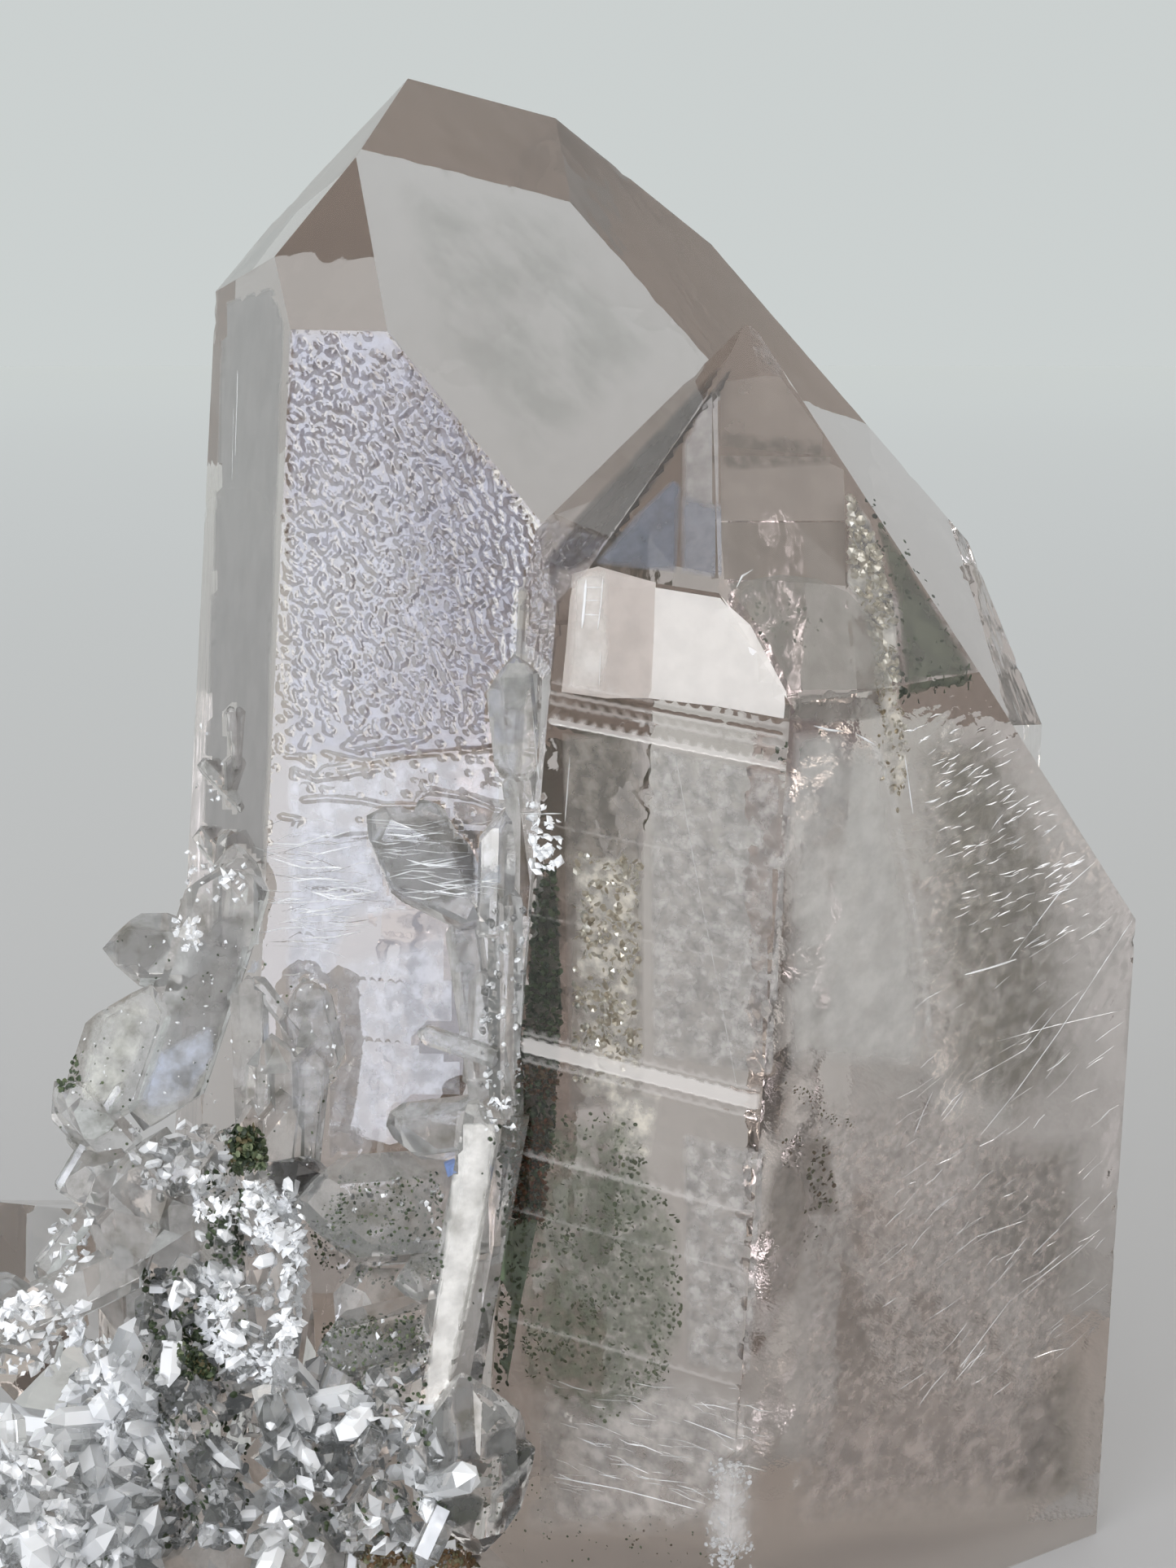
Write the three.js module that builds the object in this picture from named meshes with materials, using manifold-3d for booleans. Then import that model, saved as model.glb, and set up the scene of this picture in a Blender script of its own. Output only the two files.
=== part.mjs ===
// Chlorite included quartz: a cluster of clear quartz points, cut off flat below so that it stands on the cut.
// Millimetres, +Z up, and the front is seen looking along +Y.
// Every crystal is a convex solid bounded by planes: six prism faces along its own long axis, and a tip of
// up to six faces whose normals stand about 51.8 degrees from that axis, as quartz has them.
import * as THREE from "three";
import { ConvexGeometry } from "three/addons/geometries/ConvexGeometry.js";
import { mergeVertices } from "three/addons/utils/BufferGeometryUtils.js";
import Module from "manifold-3d";

// Driving dimensions.
const QUARTZ_COLOR = 0xcfcac4;
const CHLORITE_COLOR = 0x3a4428;
const TIP_SLOPE = 51.8; // degrees between a tip face's normal and the long axis
const CUT_Z = 0; // the flat cut that the cluster rests on
const BELOW_CUT = 30; // how far the crystals run on below the cut before it takes them off
const GAP = 0.3; // clearance between the quartz and the chlorite seated in it
const SEAM = 0.3; // width of the open seam round the front crystal where it stands in the back one
const SEAM_FOOT = 5; // below this height the seam is grown shut and the two crystals are one
const STAND_AT = [0, -5.08, 0]; // moves the cluster so that the middle of its footprint is the origin
const BLOCK_SIDE = 320; // side of the block that makes the cut, wider than the cluster
const FACE_REACH = Math.sqrt(3) / 4; // middle to prism face of a hexagon 1 wide across its corners
const MINOR_TIP_SET = 0.09; // how much further out every second tip face sits, as a share of the width
const PARALLEL = 1e-5; // three planes whose determinant is under this meet in no point
const ON_PLANE = 1e-4; // a corner this far outside a plane still counts as on it
const PLATE_SIZES = [0.75, 1.25]; // smallest and largest chlorite plate, as a share of the tuft's plate width
const RANDOM_FACTOR = 16807; // multiplier and modulus of the seeded random numbers
const RANDOM_MODULUS = 2147483647;
const QUARTZ_ROUGHNESS = 0.05;
const CHLORITE_ROUGHNESS = 0.8;

// The three large crystals. Angles are degrees: lean about X, lean about Y, then spin about the long axis.
// A face is [name, azimuth round the axis, angle of its normal from the axis, distance from the centre].
const LARGE_CRYSTALS = [
  {
    name: "back_crystal",
    centre: [8.45, 6.26, 56.0],
    angles: [-7.96, 2.33, -9.42],
    faces: [
      ["prism_0", -59.1, 89.2, 32.93],
      ["prism_1", -0.7, 88.7, 24.99],
      ["prism_2", 60.0, 89.9, 20.12],
      ["prism_3", 120.2, 89.7, 35.54],
      ["prism_4", 180.0, 90.0, 42.0],
      ["prism_5", -118.5, 89.75, 30.64],
      ["tip_0", -59.6, 51.2, 50.33],
      ["tip_1", -0.4, 50.7, 40.17],
      ["tip_2", 58.6, 52.2, 19.76],
      ["tip_3", 120.3, 50.7, 42.16],
      ["tip_4", -177.1, 54.0, 50.51],
      ["tip_5", -119.7, 51.8, 52.40],
    ],
  },
  {
    name: "front_crystal",
    centre: [19.45, -17.74, 46.0],
    angles: [10.47, 2.86, -24.37],
    faces: [
      ["prism_0", -59.8, 88.0, 21.02],
      ["prism_1", 0.0, 88.5, 20.81],
      ["prism_2", 60.1, 88.4, 14.89],
      ["prism_3", 120.0, 86.1, 24.02],
      ["prism_4", 180.0, 90.0, 17.30],
      ["prism_5", -120.0, 90.0, 20.12],
      ["tip_0", -59.3, 53.1, 35.61],
      ["tip_1", -0.6, 52.2, 37.18],
      ["tip_2", 60.8, 53.0, 28.43],
      ["tip_3", 119.0, 53.6, 23.42],
      ["tip_4", 180.0, 51.8, 25.42],
      ["tip_5", -120.2, 51.3, 31.53],
    ],
  },
  {
    name: "left_crystal",
    centre: [-24.05, -7.74, 8.8],
    angles: [-3, -47, -12],
    faces: [
      ["prism_0", -60.0, 90.0, 9.00],
      ["prism_1", 0.0, 90.0, 9.50],
      ["prism_2", 60.0, 90.0, 8.50],
      ["prism_3", 120.0, 90.0, 9.00],
      ["prism_4", 180.0, 90.0, 9.50],
      ["prism_5", -120.0, 90.0, 9.00],
      ["tip_0", -60.0, 51.8, 19.08],
      ["tip_1", 0.0, 51.8, 16.08],
      ["tip_2", 60.0, 51.8, 19.08],
      ["tip_3", 120.0, 51.8, 16.08],
      ["tip_4", 180.0, 51.8, 19.08],
      ["tip_5", -120.0, 51.8, 16.08],
    ],
  },
];

// The small crystals: [name, foot, tip, width across the corners, thickness over width, turn about the
// long axis in degrees, number of tips (1 or 2), sideways shift of the tip as a share of the width].
const SMALL_CRYSTALS = [
  // The column in the niche between the two large crystals, from the top down.
  ["upright_head", [0.3, -30.7, 63.1], [-0.6, -31.7, 72.6], 3.8, 0.85, 10, 2, [0.1, 0.05]],
  ["upright_stem", [1.1, -30.2, 54.9], [-0.2, -30.7, 65.5], 2.8, 0.90, 25, 1, [0, 0]],
  ["grey_plate", [-1.3, -29.7, 55.3], [-11.1, -28.2, 59.9], 5.9, 0.55, 0, 2, [0, 0.22]],
  ["grey_plate_tip", [-5.0, -28.2, 58.4], [-7.0, -27.2, 62.0], 2.4, 0.80, 15, 1, [0.1, 0]],
  ["dark_wedge", [-1.8, -31.2, 53.5], [-1.5, -30.7, 62.2], 2.7, 0.90, 40, 1, [0, 0.2]],
  ["stem_a", [-2.4, -29.2, 41.5], [-4.2, -28.2, 54.5], 2.6, 0.80, 12, 1, [0, 0]],
  ["stem_b", [-1.1, -31.2, 41.0], [-1.1, -31.2, 57.1], 2.7, 0.90, 33, 1, [0, 0]],
  ["stem_c", [-3.2, -28.7, 42.6], [-2.5, -30.2, 51.0], 2.0, 0.90, 5, 1, [0, 0]],
  ["stem_chip_a", [-1.7, -32.7, 45.4], [-7.1, -30.7, 46.7], 1.4, 0.80, 20, 1, [0, 0]],
  ["left_point", [-1.0, -30.2, 40.2], [-9.4, -27.2, 38.2], 4.4, 0.75, 8, 1, [0, 0.18]],
  // The bright prism and the dark double point below it.
  ["white_prism", [-2.3, -33.2, 42.6], [-7.3, -32.2, 16.9], 2.8, 0.70, -16, 2, [0, -0.25]],
  ["white_prism_back", [-0.8, -31.2, 41.3], [-4.8, -30.2, 18.6], 2.8, 0.80, 20, 1, [0, 0]],
  ["dark_point", [-3.2, -34.2, 10.3], [-4.0, -35.2, 24.4], 8.3, 0.85, 22, 2, [0.05, 0]],
  ["dark_point_side", [-4.6, -34.2, 16.2], [0.9, -35.7, 19.0], 5.1, 0.80, 10, 1, [0, 0]],
  // Greenish crystals that point to the left from the column.
  ["lens_a", [-2.5, -27.7, 33.6], [-15.8, -30.2, 33.5], 8.0, 0.70, 4, 1, [0, 0.1]],
  ["lens_a_top", [-2.5, -27.2, 35.6], [-12.6, -28.2, 35.4], 3.4, 0.70, 24, 1, [0, 0]],
  ["lens_b", [-5.0, -29.2, 25.6], [-14.3, -31.2, 23.9], 4.7, 0.80, 12, 1, [0, 0]],
  ["lens_c", [-4.6, -30.7, 29.8], [-8.9, -31.2, 28.9], 3.9, 0.90, 5, 1, [0, 0]],
  ["lens_d", [-5.5, -31.2, 24.6], [-11.3, -32.7, 21.7], 2.5, 0.80, 18, 1, [0, 0]],
  ["bright_wedge_a", [-5.5, -31.2, 21.7], [-11.9, -34.2, 19.6], 2.9, 0.60, 35, 1, [0, 0]],
  ["bright_wedge_b", [-5.8, -31.2, 19.2], [-11.7, -33.9, 17.9], 2.2, 0.70, -20, 1, [0, 0]],
  // Stubby crystals at the lower edge of the photograph.
  ["low_left_a", [-11.6, -30.2, 18.2], [-18.7, -32.2, 21.7], 3.5, 0.80, 10, 1, [0, 0]],
  ["low_left_b", [-12.1, -30.7, 15.5], [-18.2, -32.7, 18.3], 2.7, 0.80, 28, 1, [0, 0]],
  ["low_round", [-13.1, -34.2, 6.1], [-17.6, -36.2, 14.4], 6.6, 0.90, 14, 1, [0, 0]],
  ["low_bent", [-9.5, -34.2, 5.8], [-9.9, -36.2, 17.3], 4.9, 0.90, 30, 1, [0, 0]],
  ["low_mid", [-12.9, -32.7, 12.5], [-16.1, -34.2, 17.4], 2.9, 0.90, 0, 1, [0, 0]],
  ["low_right", [-5.7, -35.2, 6.6], [-6.7, -36.2, 13.3], 5.0, 0.90, 18, 1, [0, 0]],
  // The left group: plates and prisms beside the back crystal.
  ["blue_plate", [-27.7, -18.2, 35.6], [-20.7, -15.7, 56.1], 6.2, 0.42, 18, 2, [0, 0.06]],
  ["blue_plate_top", [-21.4, -14.7, 48.9], [-21.5, -13.7, 56.3], 3.6, 0.70, 15, 1, [0, 0]],
  ["hex_tip", [-23.0, -15.2, 48.6], [-30.8, -17.2, 48.9], 5.6, 0.80, 6, 2, [0, 0.05]],
  ["green_prism", [-31.5, -20.2, 35.6], [-27.7, -18.2, 47.0], 6.1, 0.70, 12, 2, [0, 0.1]],
  ["green_prism_low", [-29.3, -20.2, 34.5], [-33.6, -22.2, 40.7], 3.9, 0.80, 20, 1, [0, 0]],
  ["thin_rod", [-28.9, -21.2, 40.3], [-33.7, -22.2, 32.6], 0.9, 0.90, 10, 2, [0, 0]],
  ["rod_side", [-30.1, -20.7, 33.5], [-32.9, -21.2, 37.3], 2.0, 0.80, 10, 1, [0, 0]],
  // Slender crystals that cross each other in front of the back crystal.
  ["loop_left", [-19.5, -21.2, 33.6], [-19.6, -22.2, 48.5], 2.7, 0.80, 16, 1, [0, 0]],
  ["loop_blade", [-19.2, -22.4, 48.4], [-13.8, -21.2, 40.5], 1.4, 0.80, 10, 2, [0, 0]],
  ["loop_right", [-14.4, -20.2, 39.1], [-16.2, -21.2, 48.0], 4.1, 0.70, 12, 2, [0, 0.1]],
  ["loop_low_a", [-18.0, -22.2, 34.0], [-17.9, -23.2, 44.5], 4.6, 0.70, 22, 1, [0, 0]],
  ["loop_low_b", [-15.9, -22.7, 34.7], [-14.9, -22.7, 43.0], 2.4, 0.80, 8, 1, [0, 0]],
  // The smoky stub and the pale blocks below the left group.
  ["smoky_stub", [-18.9, -24.7, 33.5], [-13.5, -27.2, 35.3], 4.0, 0.90, 12, 1, [0, 0]],
  ["pale_block", [-26.0, -20.2, 36.7], [-29.0, -24.7, 27.2], 9.2, 0.80, 15, 2, [0, 0]],
  ["pale_block_tip", [-29.1, -21.2, 33.6], [-33.1, -24.2, 33.1], 4.5, 0.90, 10, 1, [0, 0]],
  ["pale_block_b", [-23.1, -22.2, 35.2], [-24.7, -25.2, 33.2], 3.7, 0.90, 25, 1, [0, 0]],
  // Rods and chips that reach the left edge of the photograph.
  ["left_rod_a", [-26.8, -22.2, 27.9], [-37.7, -28.7, 24.3], 3.8, 0.80, 14, 2, [0, 0]],
  ["left_rod_b", [-30.5, -21.2, 32.3], [-35.0, -24.2, 26.6], 1.9, 0.80, 22, 2, [0, 0]],
  ["left_chip_a", [-34.2, -24.2, 23.7], [-37.2, -28.7, 28.3], 2.6, 0.80, 10, 1, [0, 0]],
  ["left_chip_b", [-33.6, -24.7, 21.4], [-37.4, -29.2, 24.5], 2.0, 0.70, 32, 1, [0, 0]],
  // A bright branch of small prisms.
  ["branch_a", [-29.9, -24.7, 9.6], [-29.0, -26.7, 21.8], 3.0, 0.70, 12, 1, [0, 0]],
  ["branch_b", [-28.9, -25.2, 18.0], [-31.0, -26.7, 23.1], 1.7, 0.80, 6, 1, [0, 0]],
  ["branch_c", [-31.0, -25.7, 9.5], [-28.6, -27.2, 17.6], 2.0, 0.80, 22, 1, [0, 0]],
  ["branch_d", [-34.4, -25.2, 13.0], [-29.7, -27.7, 16.2], 2.0, 0.80, 12, 1, [0, 0]],
  // Points on the left face of the back crystal.
  ["edge_point_a", [-22.2, -4.5, 60.2], [-23.2, -2.2, 64.8], 1.1, 0.80, 10, 1, [0, 0]],
  ["edge_point_b", [-21.7, -6.3, 57.7], [-26.4, 4.1, 59.3], 1.3, 0.80, 24, 1, [0, 0]],
  ["edge_point_c", [-23.1, -2.8, 57.1], [-23.0, -4.0, 61.2], 1.1, 0.80, 4, 1, [0, 0]],
  ["edge_point_d", [-21.6, -8.3, 51.8], [-26.5, 2.7, 53.9], 1.9, 0.80, 14, 1, [0, 0]],
  ["edge_point_e", [-24.0, -2.9, 49.4], [-22.7, -6.7, 55.9], 2.3, 0.80, 34, 1, [0, 0]],
  ["edge_point_f", [-25.3, 0.2, 45.4], [-28.3, 5.7, 48.1], 1.6, 0.80, 14, 1, [0, 0]],
  // The druse in front of the foot of the back crystal.
  ["druse_arch_a", [-16.8, -26.2, 28.1], [-19.5, -27.7, 34.5], 2.5, 0.90, 14, 1, [0, 0]],
  ["druse_arch_b", [-18.1, -26.7, 25.9], [-15.7, -28.2, 32.4], 2.3, 0.90, 4, 1, [0, 0]],
  ["druse_arch_c", [-20.4, -26.2, 26.9], [-22.4, -27.2, 33.9], 2.9, 0.90, 24, 1, [0, 0]],
  ["druse_arch_d", [-19.9, -27.2, 20.0], [-20.6, -28.7, 27.9], 3.1, 0.90, 12, 1, [0, 0]],
  ["druse_arch_e", [-17.5, -27.7, 20.2], [-16.5, -29.2, 26.3], 2.9, 0.90, 32, 1, [0, 0]],
  ["druse_low_a", [-22.8, -27.7, 16.6], [-25.4, -29.2, 24.5], 3.4, 0.90, 12, 1, [0, 0]],
  ["druse_low_b", [-23.3, -28.7, 11.5], [-22.8, -30.7, 20.3], 3.5, 0.90, 2, 1, [0, 0]],
  ["druse_low_c", [-25.6, -29.2, 8.7], [-26.4, -31.2, 16.3], 3.2, 0.90, 22, 1, [0, 0]],
  ["druse_low_d", [-22.0, -30.7, 7.3], [-20.9, -32.7, 15.5], 3.4, 0.90, 12, 1, [0, 0]],
  ["druse_low_e", [-26.0, -31.2, 4.2], [-27.7, -33.2, 11.9], 3.7, 0.90, 8, 1, [0, 0]],
  ["druse_low_f", [-24.1, -26.2, 19.6], [-26.7, -28.2, 26.5], 2.9, 0.90, 18, 1, [0, 0]],
  ["druse_low_g", [-22.9, -25.7, 21.9], [-24.1, -27.2, 29.7], 3.2, 0.90, 28, 1, [0, 0]],
  // Larger crystals in the lower left corner.
  ["corner_a", [-30.3, -29.7, 5.2], [-36.9, -33.7, 18.4], 6.8, 0.80, 10, 1, [0, 0]],
  ["corner_b", [-33.5, -31.2, 3.6], [-34.5, -34.7, 15.0], 6.2, 0.80, 24, 1, [0, 0]],
  ["corner_c", [-28.9, -31.2, 4.2], [-30.5, -34.2, 13.0], 4.5, 0.80, 4, 1, [0, 0]],
  // Stout crystals behind and below, that the small ones grow on.
  ["root_a", [-15.2, -21.7, -10.0], [-15.1, -26.2, 20.2], 11.9, 0.90, 12, 1, [0, 0]],
  ["root_b", [-10.0, -25.7, -7.7], [-7.9, -30.7, 17.9], 9.9, 0.90, 24, 1, [0, 0]],
  ["root_c", [-25.6, -19.7, -11.2], [-24.4, -24.2, 22.5], 11.4, 0.90, 4, 1, [0, 0]],
  ["root_d", [-32.8, -21.7, -8.0], [-31.5, -27.2, 15.8], 11.9, 0.90, 18, 1, [0, 0]],
  ["root_e", [-20.9, -23.7, -6.9], [-19.5, -30.7, 14.6], 11.5, 0.90, 22, 1, [0, 0]],
  ["root_f", [-19.3, -19.7, 7.2], [-19.7, -24.7, 33.0], 8.3, 0.90, 10, 1, [0, 0]],
  ["root_g", [-8.9, -21.7, 8.2], [-9.5, -26.2, 31.7], 8.8, 0.90, 20, 1, [0, 0]],
  ["root_h", [-27.5, -16.7, 12.3], [-27.1, -19.2, 34.2], 9.0, 0.90, 8, 1, [0, 0]],
  ["root_i", [-18.3, -17.7, 24.9], [-18.0, -20.2, 40.0], 5.3, 0.90, 14, 1, [0, 0]],
];

// Chlorite tufts on the surface: middle, number and size of plates, half-extents of the spread.
const TUFTS = [
  {
    name: "chlorite_tuft_upper",
    centre: [-19.7, -25.7, 36.8],
    plates: 11,
    plateWidth: 1.5,
    plateThickness: 0.6,
    spread: [1.25, 0.9, 1.2],
    seed: 7,
  },
  {
    name: "chlorite_tuft_lower",
    centre: [-22.7, -29.3, 22.6],
    plates: 9,
    plateWidth: 1.5,
    plateThickness: 0.6,
    spread: [1.2, 0.8, 1.1],
    seed: 11,
  },
];

const wasm = await Module();
wasm.setup();
const { Manifold, Mesh } = wasm;

const radians = (degrees) => (degrees * Math.PI) / 180;

// Unit normal of a face from its azimuth (0 looks along -Y) and its angle from the long axis +Z.
function faceNormal(azimuth, slope) {
  const across = Math.sin(radians(slope));
  return new THREE.Vector3(
    across * Math.sin(radians(azimuth)),
    -across * Math.cos(radians(azimuth)),
    Math.cos(radians(slope)),
  );
}

// Corner points of the convex body that lies behind every plane [normal, distance].
function cornersOf(planes) {
  const corners = [];
  const cross = new THREE.Vector3();
  const count = planes.length;
  for (let i = 0; i < count; i += 1) {
    for (let j = i + 1; j < count; j += 1) {
      for (let k = j + 1; k < count; k += 1) {
        const [a, da] = planes[i];
        const [b, db] = planes[j];
        const [c, dc] = planes[k];
        const bc = new THREE.Vector3().crossVectors(b, c);
        const determinant = a.dot(bc);
        if (Math.abs(determinant) < PARALLEL) {
          continue;
        }
        const point = bc.multiplyScalar(da);
        point.addScaledVector(cross.crossVectors(c, a), db);
        point.addScaledVector(cross.crossVectors(a, b), dc);
        point.divideScalar(determinant);
        if (planes.every(([n, d]) => n.dot(point) <= d + ON_PLANE)) {
          corners.push(point);
        }
      }
    }
  }
  return corners;
}

function solidFrom(geometry) {
  geometry.deleteAttribute("normal");
  geometry.deleteAttribute("uv");
  const merged = mergeVertices(geometry, ON_PLANE);
  return new Manifold(
    new Mesh({
      numProp: 3,
      vertProperties: new Float32Array(merged.attributes.position.array),
      triVerts: new Uint32Array(merged.index.array),
    }),
  );
}

function convexSolid(planes) {
  return solidFrom(new ConvexGeometry(cornersOf(planes)));
}

// The plane of the flat cut as seen by a crystal: it runs on below, and one common cut takes all of them off.
function floorPlane() {
  return [new THREE.Vector3(0, 0, -1), BELOW_CUT - CUT_Z];
}

function largeCrystal({ centre, angles, faces }, grow = 0) {
  const turn = new THREE.Matrix4().makeRotationX(radians(angles[0]));
  turn.multiply(new THREE.Matrix4().makeRotationY(radians(angles[1])));
  turn.multiply(new THREE.Matrix4().makeRotationZ(radians(angles[2])));
  const middle = new THREE.Vector3(...centre);
  const planes = faces.map(([, azimuth, slope, distance]) => {
    const normal = faceNormal(azimuth, slope).applyMatrix4(turn);
    return [normal, normal.dot(middle) + distance + grow];
  });
  planes.push(floorPlane());
  return convexSolid(planes);
}

function smallCrystal([, foot, tip, width, flatness, turnDegrees, tips, shift], grow = 0) {
  const from = new THREE.Vector3(...foot);
  const to = new THREE.Vector3(...tip);
  const axis = to.clone().sub(from).normalize();
  const towardViewer = new THREE.Vector3(0, -1, 0).addScaledVector(axis, axis.y).normalize();
  const sideways = new THREE.Vector3().crossVectors(axis, towardViewer);
  const planes = [];
  const direction = (azimuth, slope) => {
    const across = Math.sin(radians(slope));
    return new THREE.Vector3()
      .addScaledVector(towardViewer, across * Math.cos(radians(azimuth)))
      .addScaledVector(sideways, across * Math.sin(radians(azimuth)))
      .addScaledVector(axis, Math.cos(radians(slope)));
  };
  const apexShift = towardViewer.clone().multiplyScalar(shift[0] * width);
  apexShift.addScaledVector(sideways, shift[1] * width);
  for (let i = 0; i < 6; i += 1) {
    const azimuth = turnDegrees + 60 * i;
    const isBroad = i % 3 === 0;
    const reach = FACE_REACH * width * (isBroad ? flatness : 1);
    const prism = direction(azimuth, 90);
    planes.push([prism, prism.dot(from) + reach + grow]);
    const set = i % 2 === 0 ? 0 : MINOR_TIP_SET * width;
    const upper = direction(azimuth, TIP_SLOPE);
    planes.push([upper, upper.dot(to.clone().add(apexShift)) + set + grow]);
    if (tips === 2) {
      const lower = direction(azimuth, 180 - TIP_SLOPE);
      const lowerSet = i % 2 === 1 ? 0 : MINOR_TIP_SET * width;
      planes.push([lower, lower.dot(from.clone().sub(apexShift)) + lowerSet + grow]);
    }
  }
  if (tips === 1) {
    const end = axis.clone().negate();
    planes.push([end, end.dot(from) + grow]);
  }
  return convexSolid(planes);
}

function blockBelow(height) {
  const block = new THREE.BoxGeometry(BLOCK_SIDE, BLOCK_SIDE, BLOCK_SIDE);
  block.translate(0, 0, height - BLOCK_SIDE / 2);
  return solidFrom(block);
}

// The back crystal with the open seam cut into it, in which the front crystal's back faces stay free.
function backCrystalWithSeam(grow) {
  const [back, front] = LARGE_CRYSTALS;
  const room = largeCrystal(front, grow + SEAM).subtract(blockBelow(SEAM_FOOT));
  return largeCrystal(back, grow).subtract(room);
}

// All the crystals joined in one solid; grow moves every face outward, to clear what lies on them.
function joinedCrystals(grow) {
  const solids = [backCrystalWithSeam(grow)];
  solids.push(...LARGE_CRYSTALS.slice(1).map((crystal) => largeCrystal(crystal, grow)));
  solids.push(...SMALL_CRYSTALS.map((crystal) => smallCrystal(crystal, grow)));
  return Manifold.union(solids);
}

// A tuft of chlorite: small hexagonal plates stood against each other round a middle point.
function chloriteTuft({ centre, plates, plateWidth, plateThickness, spread, seed }) {
  let state = seed;
  const random = () => {
    state = (state * RANDOM_FACTOR) % RANDOM_MODULUS;
    return state / RANDOM_MODULUS;
  };
  const solids = [];
  for (let i = 0; i < plates; i += 1) {
    const size = plateWidth * (PLATE_SIZES[0] + (PLATE_SIZES[1] - PLATE_SIZES[0]) * random());
    const plate = new THREE.CylinderGeometry(size / 2, size / 2, plateThickness, 6, 1);
    plate.rotateX(Math.PI * random());
    plate.rotateZ(2 * Math.PI * random());
    plate.translate(
      centre[0] + spread[0] * (2 * random() - 1),
      centre[1] + spread[1] * (2 * random() - 1),
      centre[2] + spread[2] * (2 * random() - 1),
    );
    solids.push(solidFrom(plate));
  }
  return Manifold.union(solids);
}

// The outer skin of a solid's largest body: a pocket sealed in between crystals is filled.
function largestBody(solid) {
  return solid.decompose().sort((a, b) => b.volume() - a.volume())[0];
}

const quartz = largestBody(joinedCrystals(0).subtract(blockBelow(CUT_Z)));
const clearance = joinedCrystals(GAP);

function meshOf(solid, name, material) {
  const { vertProperties, triVerts } = solid.getMesh();
  const geometry = new THREE.BufferGeometry();
  geometry.setAttribute("position", new THREE.BufferAttribute(new Float32Array(vertProperties), 3));
  geometry.setIndex(new THREE.BufferAttribute(new Uint32Array(triVerts), 1));
  geometry.computeVertexNormals();
  const mesh = new THREE.Mesh(geometry, material);
  mesh.name = name;
  return mesh;
}

const material = (color, roughness) => new THREE.MeshStandardMaterial({ color, roughness, metalness: 0 });

const group = new THREE.Group();
group.name = "chlorite_included_quartz";
group.position.set(...STAND_AT);
group.add(meshOf(quartz, "quartz_cluster", material(QUARTZ_COLOR, QUARTZ_ROUGHNESS)));
TUFTS.forEach((tuft) => {
  const solid = largestBody(chloriteTuft(tuft).subtract(clearance));
  group.add(meshOf(solid, tuft.name, material(CHLORITE_COLOR, CHLORITE_ROUGHNESS)));
});

export default group;
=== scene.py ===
import math
from collections import deque, namedtuple
from functools import partial

import bmesh
import bpy
import numpy as np
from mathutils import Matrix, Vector
from mathutils.bvhtree import BVHTree
from mathutils.geometry import delaunay_2d_cdt
from mathutils.kdtree import KDTree


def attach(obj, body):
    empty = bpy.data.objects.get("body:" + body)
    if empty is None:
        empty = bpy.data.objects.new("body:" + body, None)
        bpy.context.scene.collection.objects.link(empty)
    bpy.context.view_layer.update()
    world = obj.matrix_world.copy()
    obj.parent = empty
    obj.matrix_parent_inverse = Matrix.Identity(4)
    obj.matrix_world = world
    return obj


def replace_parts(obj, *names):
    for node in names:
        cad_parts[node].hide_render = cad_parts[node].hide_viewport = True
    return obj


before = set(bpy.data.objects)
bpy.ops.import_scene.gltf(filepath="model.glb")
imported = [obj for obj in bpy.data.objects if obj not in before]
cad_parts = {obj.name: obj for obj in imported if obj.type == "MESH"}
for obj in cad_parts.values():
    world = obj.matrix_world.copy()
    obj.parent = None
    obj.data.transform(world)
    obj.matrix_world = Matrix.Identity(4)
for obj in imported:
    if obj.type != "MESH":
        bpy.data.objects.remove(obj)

# Chlorite included quartz: clear points grown together, with green chlorite inside and on them.
# The frame is in metres with +Z up and the front towards -Y. Lengths here are in millimetres
# until a mesh is made, unless a name says otherwise.

MM = 0.001
IMAGE_SIZE = (1445.0, 1927.0)
FOCAL_PIXELS = 3200.0
CAMERA_PLACE = np.array((4.45, -206.39, 93.78))
CAMERA_PITCH = math.radians(80.0)  # from looking straight down
SENSOR_MM = 36.0
IOR = 1.544

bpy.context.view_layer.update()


# The camera's view of the stones

CAMERA_RIGHT = np.array((1.0, 0.0, 0.0))
CAMERA_UP = np.array((0.0, math.cos(CAMERA_PITCH), math.sin(CAMERA_PITCH)))
CAMERA_BACK = np.array((0.0, -math.sin(CAMERA_PITCH), math.cos(CAMERA_PITCH)))


def unit(v):
    v = np.asarray(v, float)
    return v / np.linalg.norm(v)


def pixel_way(px, py):
    """The direction in which the camera looks through a pixel of the 1445 by 1927 picture."""
    right = px - IMAGE_SIZE[0] / 2
    up = IMAGE_SIZE[1] / 2 - py
    return unit(right * CAMERA_RIGHT + up * CAMERA_UP - FOCAL_PIXELS * CAMERA_BACK)


def node_arrays(name):
    """Corners in millimetres and triangles of a CAD node, with doubled corners merged."""
    bm = bmesh.new()
    bm.from_mesh(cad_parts[name].data)
    bmesh.ops.remove_doubles(bm, verts=bm.verts, dist=1e-6)
    bmesh.ops.triangulate(bm, faces=bm.faces)
    bm.verts.index_update()
    corners = np.array([v.co for v in bm.verts], float) / MM
    triangles = np.array([[v.index for v in f.verts] for f in bm.faces], int)
    bm.free()
    return corners, triangles


QUARTZ_CORNERS, QUARTZ_TRIANGLES = node_arrays("quartz_cluster")
QUARTZ_TREE = BVHTree.FromPolygons(QUARTZ_CORNERS.tolist(), QUARTZ_TRIANGLES.tolist())


def surface_at(px, py):
    """Place and outward normal where the view through a pixel meets the quartz, or None."""
    place, normal, _, _ = QUARTZ_TREE.ray_cast(Vector(CAMERA_PLACE), Vector(pixel_way(px, py)))
    if place is None:
        return None
    return np.array(place), np.array(normal)


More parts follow.
